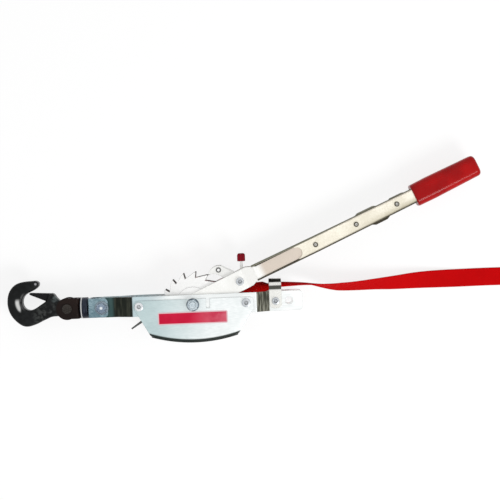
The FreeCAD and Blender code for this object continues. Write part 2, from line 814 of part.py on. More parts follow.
def handle_cover():
    """The strip that closes the channel from the plates' tails to the grip."""
    half = channel_depth / 2
    strip = channel_band(cover_start, grip_start + cover_tuck, channel_wall, half - channel_wall, half)
    notch = (channel_line(cover_start, 1) + channel_line(cover_start, -1)) / 2
    strip = strip.cut(cylinder(cover_notch_radius, 0, half + 1, (cover_start, notch)))
    for place in rivet_places:
        strip = strip.cut(cylinder(rivet_diameter / 2, 0, half + 1, (place, rivet_offset)))
    return strip


def handle_rivet(place):
    """A hollow-ended rivet through cover and channel."""
    half = channel_depth / 2
    centre = (place, rivet_offset)
    radius = rivet_head_diameter / 2
    body = cylinder(rivet_diameter / 2, -half, half, centre)
    near = cylinder(radius, half, half + rivet_head_height, centre)
    near = near.cut(cylinder(rivet_diameter / 2 * 0.7, half + 0.4, half + rivet_head_height + 1, centre))
    far = cylinder(radius, -half - rivet_head_height, -half, centre)
    return body.fuse([near, far])


def rounded_section(place, width, depth, corner, centre):
    """A rounded rectangle square to the handle's line, from four lines and four arcs."""
    a = width / 2
    b = depth / 2
    r = min(corner, a * 0.95, b * 0.95)
    lean = r * (1 - math.sqrt(0.5))

    def point(across, up):
        return Vector(place, centre + across, middle + up)

    return Part.Wire([
        line(point(-a + r, -b), point(a - r, -b)),
        arc(point(a - r, -b), point(a - lean, -b + lean), point(a, -b + r)),
        line(point(a, -b + r), point(a, b - r)),
        arc(point(a, b - r), point(a - lean, b - lean), point(a - r, b)),
        line(point(a - r, b), point(-a + r, b)),
        arc(point(-a + r, b), point(-a + lean, b - lean), point(-a, b - r)),
        line(point(-a, b - r), point(-a, -b + r)),
        arc(point(-a, -b + r), point(-a + lean, -b + lean), point(-a + r, -b)),
    ])


def grip():
    """The dipped grip: a rounded sleeve with a soft lip, a slight swell and a rounded closed end."""
    sizes = [
        (grip_start, grip_mouth_width, grip_mouth_depth),
        (grip_start + grip_swell, grip_middle_width, grip_middle_depth),
        (grip_end, grip_end_width, grip_end_depth),
    ]
    sections = [rounded_section(place, width, depth, grip_corner * width / grip_middle_width, grip_centre)
                for place, width, depth in sizes]
    body = Part.makeLoft(sections, True, True)
    closed = [edge for edge in body.Edges if edge.BoundBox.XMin > grip_end - 1e-3]
    body = body.makeFillet(grip_end_round, closed)
    mouth = [edge for edge in body.Edges if edge.BoundBox.XMax < grip_start + 1e-3]
    body = body.makeFillet(grip_lip, mouth)
    half = channel_depth / 2
    pocket = channel_band(grip_start - 5, channel_end, 0, -half, half)
    return body.cut(pocket)


def drive_pivot():
    angle = math.radians(handle_angle)
    return (drive_pawl_reach * math.cos(angle) - drive_pawl_offset * math.sin(angle),
            drive_pawl_reach * math.sin(angle) + drive_pawl_offset * math.cos(angle))


def knob_place():
    x, y = drive_pivot()
    return x + knob_reach[0], y + knob_reach[1]


def drive_axes():
    """The drive pawl's pivot and ring pin, with the ways along it and up from it."""
    pivot = flat(*drive_pivot())
    pin = flat(*drive_pin_place)
    along = (pivot - pin).normalize()
    return pivot, pin, along, Vector(-along.y, along.x, 0)


def release_lever():
    """The flat lever that stands on the drive pawl and carries the knob."""
    pivot, pin, along, up = drive_axes()
    foot = pivot + up * (drive_boss_radius - 1.0)
    x, y = knob_place()
    half = lever_thickness / 2
    return plate([(foot.x - half - 2, foot.y), (foot.x + half, foot.y), (x + half, y), (x - half, y)],
                 -knob_depth / 2 + 3, knob_depth / 2 - 3)


def nose_points(face_angle):
    """A pawl nose's lower and upper corner, just clear of the tooth tips beside a steep face."""
    low = wheel_tip_radius + nose_clear
    high = low + nose_height
    behind = math.radians(face_angle - nose_lag)
    ahead = math.radians(face_angle + nose_lag)
    return (flat(low * math.cos(behind), low * math.sin(behind)),
            flat(high * math.cos(ahead), high * math.sin(ahead)))


def drive_cheek(low, high):
    """One side of the drive pawl: a beak, an arched belly and a boss round the pivot."""
    pivot, pin, along, up = drive_axes()
    tip, heel = nose_points(tooth_phase)
    crown = pin + up * 6.5
    back = pivot + up * drive_boss_radius
    under = pivot - up * drive_boss_radius
    belly_start = pin + Vector(-10.0, -4.7, 0)
    belly_end = pin + Vector(9.0, -13.0, 0)
    bow = (belly_end - belly_start)
    middle_point = (belly_start + belly_end) * 0.5
    square = Vector(-bow.y, bow.x, 0).normalize()
    rise = drive_arch_radius - math.sqrt(max(drive_arch_radius ** 2 - (bow.Length / 2) ** 2, 0))
    edges = [
        line(tip, heel),
        line(heel, pin + Vector(-13.0, -1.5, 0)),
        arc(pin + Vector(-13.0, -1.5, 0), pin + Vector(-7.0, 4.2, 0), crown),
        line(crown, back),
        arc(back, pivot + along * drive_boss_radius, under),
        line(under, belly_end),
        arc(belly_end, middle_point + square * rise, belly_start),
        line(belly_start, tip + Vector(3.2, 0.6, 0)),
        line(tip + Vector(3.2, 0.6, 0), tip),
    ]
    cheek = outlined(edges, low, high)
    return cheek.cut(cylinder(bolt_diameter / 2 + running_fit, low - 1, high + 1, drive_pivot()))


def drive_pawl():
    """The drive pawl: two cheeks, a top web between them and the release lever."""
    near = drive_cheek(cheek_inner, cheek_outer)
    pivot, pin, along, up = drive_axes()
    corners = (pin + up * 6.5, pivot + up * drive_boss_radius,
               pivot + up * (drive_boss_radius - drive_web_thickness), pin + up * (6.5 - drive_web_thickness))
    web = plate([(corner.x, corner.y) for corner in corners], -cheek_inner, cheek_inner)
    body = near.fuse([mirrored(near), web, release_lever()]).removeSplitter()
    return body.cut(cylinder(drive_pin_diameter / 2, -cheek_outer - 1, cheek_outer + 1, drive_pin_place))


def release_knob():
    """The soft cap over the release lever's end."""
    x, y = knob_place()
    half = knob_size / 2
    corner = Vector(x - half, y - half, middle - knob_depth / 2)
    block = Part.makeBox(knob_size, knob_size, knob_depth, corner)
    crown = [edge for edge in block.Edges if edge.BoundBox.YMin > y + half - 1e-3]
    block = block.makeFillet(knob_crown_round, crown)
    skirt = [edge for edge in block.Edges if edge.BoundBox.YMax < y + half - knob_crown_round - 1e-3]
    block = block.makeFillet(knob_edge_round, skirt)
    return block.cut(release_lever())


def holding_cheek(low, high):
    """One side of the holding pawl."""
    tip, heel = nose_points(tooth_phase + holding_tooth * tooth_pitch)
    pivot = front_bolt
    way = (tip - pivot).normalize()
    up = Vector(-way.y, way.x, 0)
    if up.y < 0:
        up = up * -1
    boss = holding_boss_radius
    waist = tip + way * -5.4 + up * 0.9
    shoulder = tip + way * -15.0 + up * 3.6
    edges = [
        line(tip, waist),
        line(waist, shoulder),
        line(shoulder, pivot + up * boss),
        arc(pivot + up * boss, pivot - way * boss, pivot - up * boss),
        line(pivot - up * boss, heel - way * 12.0 - up * 1.6),
        line(heel - way * 12.0 - up * 1.6, heel),
        line(heel, tip),
    ]
    cheek = outlined(edges, low, high)
    return cheek.cut(cylinder(spacer_radius + running_fit, low - 1, high + 1, (pivot.x, pivot.y)))


def holding_pawl():
    """The holding pawl: two cheeks joined by a web under the pivot, which runs on as its bent tail."""
    near = holding_cheek(cheek_inner, cheek_outer)
    pivot = front_bolt
    elbow = flat(*holding_tail_elbow)
    tip = flat(*holding_tail_tip)
    way = (elbow - pivot).normalize()
    side = Vector(-way.y, way.x, 0)
    start = pivot + way * (holding_boss_radius - 1.5)
    web = plate([(p.x, p.y) for p in (start + side * 5.5, start + way * 4 + side * 4.5,
                                      start + way * 4 - side * 4.5, start - side * 5.5)],
                -cheek_inner - 1, cheek_inner + 1)
    out = (tip - elbow).normalize()
    edge = Vector(-out.y, out.x, 0)
    tail = plate([(p.x, p.y) for p in (start - side * 3.4, elbow - side * 1.6 - out * 1.0, tip - edge,
                                       tip + edge, elbow + side * 2.6 + way * 1.6, start + side * 3.4)],
                 -8.0, 8.0)
    web = web.cut(cylinder(spacer_radius + running_fit + 0.4, -bar_inner, bar_inner, (pivot.x, pivot.y)))
    return near.fuse([mirrored(near), web, tail]).removeSplitter()


def u_yoke(web_face, way, end, half_width, inner, thickness, web_thickness, corner):
    """A strap bent to a U about a web square to X; way is +1 where its arms run to +X."""
    length = abs(end - web_face) + web_thickness
    start = min(web_face - way * web_thickness, end)
    outer = inner + thickness
    block = Part.makeBox(length, 2 * half_width, 2 * outer, Vector(start, -half_width, middle - outer))
    back = web_face - way * web_thickness
    folds = [edge for edge in block.Edges
             if abs(edge.BoundBox.XMin - back) < 1e-3 and edge.BoundBox.XLength < 1e-3
             and edge.BoundBox.YLength > half_width]
    block = block.makeFillet(web_thickness + 1.0, folds)
    ends = [edge for edge in block.Edges
            if abs(edge.BoundBox.XMin - end) < 1e-3 and edge.BoundBox.XLength < 1e-3
            and edge.BoundBox.ZLength > outer]
    block = block.makeFillet(corner, ends)
    gap_start = min(web_face, end + way * 5)
    gap = Part.makeBox(abs(end + way * 5 - web_face), 2 * half_width + 2, 2 * inner,
                       Vector(gap_start, -half_width - 1, middle - inner))
    return block.cut(gap)


def along_x(radius, start, end):
    return Part.makeCylinder(radius, end - start, Vector(start, 0, middle), Vector(1, 0, 0))


def hook_outline(scale, eye):
    """The hook's side outline about its eye, pointing to -X, as places with headings joined smoothly."""
    stops = [(0, eye, 0), (eye, 0, -90), (0, -eye, 180)]
    stops += [(x * scale, y * scale, heading) for x, y, heading in hook_back + hook_throat]
    edges = []
    for (x0, y0, heading0), (x1, y1, heading1) in zip(stops, stops[1:] + stops[:1]):
        leaving = Vector(math.cos(math.radians(heading0)), math.sin(math.radians(heading0)), 0)
        arriving = Vector(math.cos(math.radians(heading1)), math.sin(math.radians(heading1)), 0)
        edges += biarc(flat(x0, y0), leaving, flat(x1, y1), arriving)
    return edges


def forged_hook(scale, thickness, eye_radius, edge_radius):
    """A hook blank with its long edges rounded, its eye at the origin and z about zero."""
    face = Part.Face(Part.Wire(hook_outline(scale, eye_radius)))
    face.translate(Vector(0, 0, -thickness / 2))
    blank = face.extrude(Vector(0, 0, thickness))
    rims = [edge for edge in blank.Edges if edge.BoundBox.ZLength < 1e-3]
    return blank.makeFillet(edge_radius, rims)


def hook_latch(scale, width, pin_radius):
    """The sprung latch, from its pivot to its nose under the tip, z about zero."""
    pivot = flat(latch_pivot_place[0] * scale, latch_pivot_place[1] * scale)
    nose = flat(latch_nose_place[0] * scale, latch_nose_place[1] * scale)
    way = (nose - pivot).normalize()
    up = Vector(way.y, -way.x, 0)
    boss = latch_boss_radius * scale
    tip = latch_tip_radius * scale
    keel = flat(latch_keel_place[0] * scale, latch_keel_place[1] * scale)
    edges = [
        line(pivot + up * boss, nose + up * tip),
        arc(nose + up * tip, nose + way * tip, nose - up * tip),
        line(nose - up * tip, keel),
        line(keel, pivot - up * boss),
        arc(pivot - up * boss, pivot - way * boss, pivot + up * boss),
    ]
    face = Part.Face(Part.Wire(edges))
    face.translate(Vector(0, 0, -width / 2))
    blade = face.extrude(Vector(0, 0, width))
    hole = Part.makeCylinder(pin_radius, width + 2, Vector(pivot.x, pivot.y, -width / 2 - 1), ALONG_Z)
    return blade.cut(hole)


# Frame
near_bar = side_bar()
save("side_bar_near", near_bar)
save("side_bar_far", mirrored(near_bar))
save("belly_guard", guard())
save("guard_label", label())

front_bolt_solid = round_bolt(-front_bolt_distance, guard_outer, guard_outer, bolt_head_diameter)
rear_bolt_solid = round_bolt(rear_bolt_distance, guard_outer, guard_outer, bolt_head_diameter)
save("frame_bolts", front_bolt_solid, rear_bolt_solid)
save("frame_bolt_nuts", *[nut((x, 0), nut_flats, nut_height, guard_outer, bolt_diameter / 2)
                          for x in (-front_bolt_distance, rear_bolt_distance)])
save("front_spacer", ring(spacer_radius, bolt_diameter / 2, -bar_inner, bar_inner, (-front_bolt_distance, 0)))
save("rear_spacer", ring(spacer_radius, bolt_diameter / 2, -bar_inner, bar_inner, (rear_bolt_distance, 0)))
axle_top = guard_outer + axle_washer_thickness + axle_nut_height + 1.2
axle_head = hexagon(axle_head_flats, -middle, -guard_outer)
save("axle_bolt", cylinder(axle_radius, -guard_outer, axle_top).fuse(axle_head).removeSplitter())
save("axle_washer", ring(axle_washer_diameter / 2, axle_radius, guard_outer,
                         guard_outer + axle_washer_thickness))
near_nut = mirrored(nut((0, 0), axle_head_flats, axle_nut_height, guard_outer + axle_washer_thickness,
                        axle_radius, 12.0))
save("axle_nut", near_nut)
thrust_washer = ring(thrust_washer_diameter / 2, axle_radius, bar_inner - thrust_washer_thickness, bar_inner)
save("thrust_washers", thrust_washer, mirrored(thrust_washer))
save("strap_saddle", saddle())
saddle_outer = fork_outer + saddle_thickness
save("saddle_bolt", round_bolt(saddle_bolt_distance, saddle_outer, saddle_outer, saddle_head_diameter))
save("saddle_nut", nut((saddle_bolt_distance, 0), nut_flats, nut_height, saddle_outer, bolt_diameter / 2))
save("saddle_spacer", ring(spacer_radius, bolt_diameter / 2, -fork_half_gap, fork_half_gap,
                           (saddle_bolt_distance, 0)))

# Drum
save("drum_tube", drum_tube())
near_wheel = ratchet_wheel()
save("ratchet_wheel_near", near_wheel)
save("ratchet_wheel_far", mirrored(near_wheel))
near_disc = ring(hub_disc_radius, drum_radius, wheel_outer, hub_outer)
save("hub_discs", near_disc, mirrored(near_disc))
save("strap_roll", strap_roll())

# Handle, drawn along X and turned to its angle
half_channel = channel_depth / 2
near_tail = half_channel - near_tail_recess - yoke_thickness / 2
far_tail = half_channel + yoke_thickness / 2
inner_line = channel_half_width - channel_wall
near_plate = yoke_plate(near_tail, channel_line(yoke_tail_end, 1) - channel_wall, -inner_line)
far_plate = yoke_plate(far_tail, channel_line(yoke_tail_end, 1) - channel_wall, -inner_line)
save("yoke_plate_near", turned(near_plate, handle_angle))
save("yoke_plate_far", turned(mirrored(far_plate), handle_angle))
channel = handle_channel().cut(near_plate).cut(mirrored(far_plate))
save("handle_channel", turned(channel, handle_angle))
save("handle_cover", turned(handle_cover(), handle_angle))
save("handle_rivets", *[turned(handle_rivet(place), handle_angle) for place in rivet_places])
save("handle_grip", turned(grip(), handle_angle))
pivot_place = drive_pivot()
pivot_bolt = cylinder(bolt_diameter / 2, -yoke_outer, yoke_outer, pivot_place)
pivot_head = cylinder(drive_bolt_head_diameter / 2, yoke_outer, yoke_outer + bolt_head_height, pivot_place)
far_head = cylinder(drive_bolt_head_diameter / 2, -yoke_outer - bolt_head_height, -yoke_outer, pivot_place)
socket = hexagon(bolt_socket_flats, yoke_outer + bolt_head_height - bolt_socket_depth,
                 yoke_outer + bolt_head_height + 1, pivot_place)
save("drive_pawl_bolt", pivot_bolt.fuse([pivot_head, far_head]).cut(socket).removeSplitter())
drive_spring_radius = bolt_diameter / 2 + running_fit + spring_wire / 2 + 0.15
pawl_lean = math.atan2(pivot_place[1] - drive_pin_place[1], pivot_place[0] - drive_pin_place[0])
pawl_up = math.degrees(pawl_lean) + 90
save("drive_pawl_spring", coil_spring(pivot_place, drive_spring_radius, 4, 7.0, pawl_up))

# Drive pawl
save("drive_pawl", drive_pawl())
pin_half = cheek_outer + 1.2
save("drive_pawl_pin", cylinder(drive_pin_diameter / 2, -pin_half, pin_half, drive_pin_place))
save("release_knob", release_knob())

# Holding pawl
save("holding_pawl", holding_pawl())
holding_spring_radius = spacer_radius + running_fit + spring_wire / 2 + 0.3
save("holding_pawl_spring", coil_spring((-front_bolt_distance, 0), holding_spring_radius, 4.25, 10.0, 183.0))

# Front eye, swivel and hook
eye_inner = fork_outer + turning_gap
eye_outer = eye_inner + eye_yoke_thickness
eye_place = (-front_eye_distance, 0)
eye_yoke = u_yoke(-eye_yoke_web, 1, -eye_yoke_end, eye_yoke_half_width, eye_inner, eye_yoke_thickness,
                  eye_yoke_thickness, 6.0)
eye_back = -eye_yoke_web - eye_yoke_thickness
stud_radius = stud_diameter / 2
eye_yoke = eye_yoke.cut(cylinder(bolt_diameter / 2 + running_fit, -eye_outer - 1, eye_outer + 1, eye_place))
eye_yoke = eye_yoke.cut(along_x(stud_radius + running_fit, eye_back - 1, -eye_yoke_web + 1))
save("eye_yoke", eye_yoke)
near_washer = ring(eye_washer_diameter / 2, bolt_diameter / 2, eye_outer + turning_gap,
                   eye_outer + turning_gap + eye_washer_thickness, eye_place)
save("eye_washers", near_washer, mirrored(near_washer))
eye_stack = eye_outer + turning_gap + eye_washer_thickness
eye_head = mirrored(hexagon(nut_flats, -eye_stack - eye_head_height, -eye_stack, eye_place, 20.0))
eye_bolt = cylinder(bolt_diameter / 2, -eye_stack - nut_height, eye_stack, eye_place).fuse(eye_head)
save("eye_bolt", eye_bolt.removeSplitter())
save("eye_nut", nut(eye_place, nut_flats, nut_height, eye_stack, bolt_diameter / 2))
save("eye_spacer", ring(spacer_radius, bolt_diameter / 2, -fork_half_gap, fork_half_gap, eye_place))

swivel_front = eye_back - turning_gap
swivel_back = swivel_front - swivel_length
barrel = along_x(swivel_diameter / 2, swivel_back, swivel_front)
barrel = barrel.makeChamfer(1.6, [edge for edge in barrel.Edges if edge.BoundBox.YLength > swivel_diameter / 2
                                  and edge.BoundBox.XLength < 1e-3])
barrel = barrel.cut(along_x(stud_radius, swivel_back - 1, swivel_front + 1))
save("swivel_barrel", barrel)
hook_web = swivel_back - hook_yoke_thickness
stud = along_x(stud_radius, hook_web, -eye_yoke_web + turning_gap)
front_head = along_x(stud_head_diameter / 2, -eye_yoke_web + turning_gap, -eye_yoke_web + turning_gap
                     + stud_head_height)
back_head = along_x(stud_radius + 1.5, hook_web - stud_head_height + 0.4, hook_web)
save("swivel_stud", stud.fuse([front_head, back_head]).removeSplitter())
hook_yoke = u_yoke(hook_web, -1, -hook_yoke_end, hook_yoke_half_width, hook_yoke_half_gap,
                   hook_yoke_thickness, hook_yoke_thickness, hook_yoke_half_width - 0.5)
hook_yoke_outer = hook_yoke_half_gap + hook_yoke_thickness
pin_place = (-hook_pin_distance, 0)
yoke_round = cylinder(hook_yoke_end_radius, hook_yoke_half_gap, hook_yoke_outer, pin_place)
hook_yoke = hook_yoke.fuse([yoke_round, mirrored(yoke_round)]).removeSplitter()
hook_yoke = hook_yoke.cut(along_x(stud_radius, hook_web - 1, swivel_back + 1))
pin_room = hook_yoke_outer + 1
hook_yoke = hook_yoke.cut(cylinder(hook_pin_diameter / 2, -pin_room, pin_room, pin_place))
save("hook_yoke", hook_yoke)
pin = cylinder(hook_pin_diameter / 2, -hook_yoke_outer, hook_yoke_outer, pin_place)
head_top = hook_yoke_outer + hook_pin_head_height
pin_head = cylinder(hook_pin_head_diameter / 2, hook_yoke_outer, head_top, pin_place)
save("hook_pin", pin.fuse([pin_head, mirrored(pin_head)]).removeSplitter())


def placed(shape, x, y, z):
    copy = shape.copy()
    copy.translate(Vector(x, y, z))
    return copy


def latch_room(scale, width, room):
    """The space in a hook's shoulder for its latch, through the latch's whole swing."""
    x, y = latch_pivot_place[0] * scale, latch_pivot_place[1] * scale
    reach = latch_boss_radius * scale + room
    low = -width / 2 - room
    deep = width + 2 * room
    boss = Part.makeCylinder(reach, deep, Vector(x, y, low), ALONG_Z)
    corners = [(x, y + reach), (x - 30 * scale, y + 12 * scale), (x - 30 * scale, y - 14 * scale),
               (x - 5.5 * scale, y - 12 * scale), (x + 1.6 * scale, y - reach - 0.35 * scale)]
    points = [Vector(a, b, low) for a, b in corners]
    swing = Part.Face(Part.makePolygon(points + points[:1])).extrude(Vector(0, 0, deep))
    close = Part.makeCylinder(15.5 * scale, deep, Vector(x, y, low), ALONG_Z)
    return boss.fuse(swing.common(close))


def latched_hook(blank, scale, thickness, width, pin_diameter):
    """A hook with its latch, latch pin and latch spring, all about the hook's own origin."""
    x, y = latch_pivot_place[0] * scale, latch_pivot_place[1] * scale
    pin = Part.makeCylinder(pin_diameter / 2, thickness, Vector(x, y, -thickness / 2), ALONG_Z)
    body = blank.cut(latch_room(scale, width, latch_side_gap)).cut(pin)
    latch = hook_latch(scale, width, pin_diameter / 2 + running_fit)
    wire = latch_spring_wire * scale
    leg = latch_spring_leg * scale
    coil = pin_diameter / 2 + running_fit + wire / 2 + 0.15
    room = coil + wire / 2 + 0.15
    rise = (wire + coil_gap) * (latch_spring_turns / 2 + leg / (2 * math.pi * coil))
    half = rise + wire / 2 + 0.15
    nose = math.degrees(math.atan2(latch_nose_place[1] - latch_pivot_place[1],
                                   latch_nose_place[0] - latch_pivot_place[0]))
    pocket = Part.makeCylinder(room, 2 * half, Vector(x, y, -half), ALONG_Z)
    tray = Part.makeBox(leg + room, 2 * room, 2 * half, Vector(x, y - room, -half))
    tray.rotate(Vector(x, y, 0), ALONG_Z, nose)
    latch = latch.cut(pocket.fuse(tray))
    spring = coil_spring((x, y), coil, latch_spring_turns, leg, nose + 90.0, wire)
    return body, latch, pin, placed(spring, 0, 0, -middle)


hook_blank = forged_hook(1.0, hook_thickness, hook_eye_radius, hook_edge_radius)
hook_blank = hook_blank.cut(Part.makeCylinder(hook_pin_diameter / 2 + running_fit, hook_thickness + 2,
                                              Vector(0, 0, -hook_thickness / 2 - 1), ALONG_Z))
hook_pieces = latched_hook(hook_blank, 1.0, hook_thickness, latch_width, latch_pin_diameter)
for name, piece in zip(("hook", "hook_latch", "hook_latch_pin", "hook_latch_spring"), hook_pieces):
    save(name, placed(piece, -hook_pin_distance, 0, middle))

# Strap from the roll to its end
start_height = math.hypot(roll_radius, roll_pitch) + 0.5 + strap_thickness / 2
run = strap_stretch("strap_run", ((3.0, start_height, 0.0, 0.0, 0.2),) + run_route)
save("strap_run", placed(run, 0, 0, middle))
save("strap_free", strap_stretch("strap_free", free_route))

# The strap's sewn end loop round the end hook's ring
end_x, end_y, end_z = free_route[-1][:3]
loop_radius = end_ring_bar / 2 + end_loop_clearance + strap_thickness / 2
ring_x = end_x + end_loop_lap
ring_z = end_z + loop_radius
lap_z = end_z + strap_thickness + 0.1
low_side = end_y - strap_width / 2
turn_start = Vector(ring_x, low_side, end_z)
turn_end = Vector(ring_x, low_side, end_z + 2 * loop_radius)
lap_start = Vector(ring_x - end_loop_slope, low_side, lap_z)
lap_end = Vector(end_x + 2.0, low_side, lap_z)
back = Vector(-1, 0, 0)
loop_path = Part.Wire([line(Vector(end_x, low_side, end_z), turn_start),
                       arc(turn_start, Vector(ring_x + loop_radius, low_side, ring_z), turn_end)]
                      + biarc(turn_end, back, lap_start, back) + [line(lap_start, lap_end)])
half_strap = strap_thickness / 2
corners = [Vector(end_x, low_side, end_z - half_strap), Vector(end_x, low_side, end_z + half_strap),
           Vector(end_x, low_side + strap_width, end_z + half_strap),
           Vector(end_x, low_side + strap_width, end_z - half_strap)]
save("strap_end_loop", loop_path.makePipeShell([Part.makePolygon(corners + corners[:1])], True, False))

# End hook: the same latch hook, smaller, with a ring for the strap in place of its eye
ring_half = (strap_width + end_ring_bar) / 2 + 1.2
ring_points = [Vector(end_ring_length, 0, 0), Vector(end_ring_length, ring_half, 0),
               Vector(end_ring_length - end_ring_side, ring_half, 0), Vector(-3.0, end_hook_neck, 0),
               Vector(-3.0, -end_hook_neck, 0), Vector(end_ring_length - end_ring_side, -ring_half, 0),
               Vector(end_ring_length, -ring_half, 0), Vector(end_ring_length, 0, 0)]
ring_path = Part.Wire(rounded_line(ring_points, end_ring_corner))
ring_round = Part.Wire(Part.makeCircle(end_ring_bar / 2, ring_points[0], Vector(0, 1, 0)))
end_ring = ring_path.makePipeShell([ring_round], True, False)
end_blank = forged_hook(end_hook_scale, end_hook_thickness, end_hook_neck + 1.2, end_hook_edge_radius)
end_pieces = latched_hook(end_blank.fuse(end_ring), end_hook_scale, end_hook_thickness, end_latch_width,
                          end_latch_pin_diameter)
end_names = ("end_hook", "end_hook_latch", "end_hook_latch_pin", "end_hook_latch_spring")
for name, piece in zip(end_names, end_pieces):
    save(name, placed(turned(piece, 180.0), ring_x + end_ring_length, end_y, ring_z))
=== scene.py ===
"""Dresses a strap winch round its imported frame: camera, strap, the metal pieces in turn, and floor."""

import math

import bmesh
import bpy
from mathutils import Matrix, Vector


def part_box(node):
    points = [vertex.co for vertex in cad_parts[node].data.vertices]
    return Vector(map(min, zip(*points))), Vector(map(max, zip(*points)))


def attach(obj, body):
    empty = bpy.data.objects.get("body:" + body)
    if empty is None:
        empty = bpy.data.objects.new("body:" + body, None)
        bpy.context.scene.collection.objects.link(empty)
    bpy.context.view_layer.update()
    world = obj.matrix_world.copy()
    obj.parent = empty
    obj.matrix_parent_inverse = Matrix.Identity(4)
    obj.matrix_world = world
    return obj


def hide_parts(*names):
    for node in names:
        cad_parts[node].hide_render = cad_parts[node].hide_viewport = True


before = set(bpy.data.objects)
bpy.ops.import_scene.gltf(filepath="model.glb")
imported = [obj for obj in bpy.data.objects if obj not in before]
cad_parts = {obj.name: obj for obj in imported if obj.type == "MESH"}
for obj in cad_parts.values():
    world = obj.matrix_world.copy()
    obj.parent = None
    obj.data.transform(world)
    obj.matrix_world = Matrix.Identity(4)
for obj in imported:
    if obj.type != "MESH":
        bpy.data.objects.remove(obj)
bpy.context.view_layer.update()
bpy.ops.object.select_all(action="DESELECT")

# Camera
# It hangs almost straight over the winch, a little to the handle's side, and is rolled so that the
# winch's frame climbs slightly to the right.
view_centre = Vector((0.0818, 0.0716, 0.0337))
view_distance = 1.6
view_field = 0.7
view_tilt = math.radians(1.3)
view_roll = math.radians(2.3)
view_back = Vector((0.0, math.sin(view_tilt), math.cos(view_tilt)))
view_up = Vector((math.sin(view_roll), math.cos(view_roll), 0.0))
view_right = view_up.cross(view_back).normalized()
view_up = view_back.cross(view_right)
camera_data = bpy.data.cameras.new("camera")
camera_data.lens = camera_data.sensor_width * view_distance / view_field
camera = bpy.data.objects.new("camera", camera_data)
bpy.context.scene.collection.objects.link(camera)
camera.matrix_world = Matrix.Translation(view_centre + view_back * view_distance) @ Matrix(
    (view_right, view_up, view_back)).transposed().to_4x4()
bpy.context.scene.camera = camera
bpy.context.scene.view_settings.view_transform = "Standard"


# Free strap
# Red polyester webbing, 25.4 mm wide, that leaves the saddle on edge, lays itself over and runs flat
# along the surface to its end hook. It is a woven ribbon swept along one smooth line.
strap_width = 0.0254
strap_thickness = 0.0016
middle_height = 0.0337
resting_y = 0.0192
strap_exit = (0.1248, 0.0224, middle_height)
exit_turn = 5
exit_cup = 0.0044
# x, y, z in metres, turn about its own line in degrees, and cupping in metres
free_route = (
    (*strap_exit, exit_turn, exit_cup),
    (0.1430, 0.0224, 0.0337, 4, 0.0024),
    (0.1660, 0.0206, 0.0306, -1, 0.0012),
    (0.1860, 0.0169, 0.0266, -14, 0.0008),
    (0.2060, 0.0146, 0.0222, -27, 0.0005),
    (0.2320, 0.0148, 0.0168, -33, 0.0004),
    (0.2580, 0.0162, 0.0128, -40, 0.0004),
    (0.2860, 0.0169, 0.0094, -52, 0.0003),
    (0.3140, 0.0188, 0.0069, -65, 0.0003),
    (0.3450, 0.0193, 0.0040, -78, 0.0003),
    (0.3780, resting_y, 0.0016, -89, 0.0002),
    (0.4120, 0.0195, 0.0011, -90, 0.0001),
    (0.4460, resting_y, 0.0010, -90, 0.0),
    (0.4700, resting_y, 0.0010, -90, 0.0),
)


def smooth_line(points, steps=12):
    """Points along a quadratic NURBS line that has the given control points."""
    data = bpy.data.curves.new("route", "CURVE")
    data.dimensions = "3D"
    data.resolution_u = steps
    spline = data.splines.new("NURBS")
    spline.points.add(len(points) - 1)
    for place, point in zip(spline.points, points):
        place.co = (*point, 1.0)
    spline.order_u = 3
    spline.use_endpoint_u = True
    holder = bpy.data.objects.new("route", data)
    line = bpy.data.meshes.new_from_object(holder)
    found = [vertex.co.copy() for vertex in line.vertices]
    bpy.data.meshes.remove(line)
    bpy.data.objects.remove(holder)
    bpy.data.curves.remove(data)
    return found


def directions(line):
    """Each point of a line with the line's direction there."""
    neighbours = zip(line[:1] + line, line, line[1:] + line[-1:])
    return [(point, (after - before).normalized()) for before, point, after in neighbours]


def strap_frames(line, route):
    """Each point of the line with its across and outward directions and its cupping."""
    stretches = list(zip(route, route[1:]))
    frames = []
    for point, along in directions(line):
        start, end = next((pair for pair in stretches if point.x <= pair[1][0]), stretches[-1])
        share = min(max((point.x - start[0]) / (end[0] - start[0]), 0), 1)
        turn = math.radians(start[3] + (end[3] - start[3]) * share)
        cup = start[4] + (end[4] - start[4]) * share
        width_way = along.cross(Vector((0, 1, 0))).normalized()
        face_way = width_way.cross(along).normalized()
        across = width_way * math.cos(turn) - face_way * math.sin(turn)
        out = face_way * math.cos(turn) + width_way * math.sin(turn)
        frames.append((point, across, out, cup))
    return frames


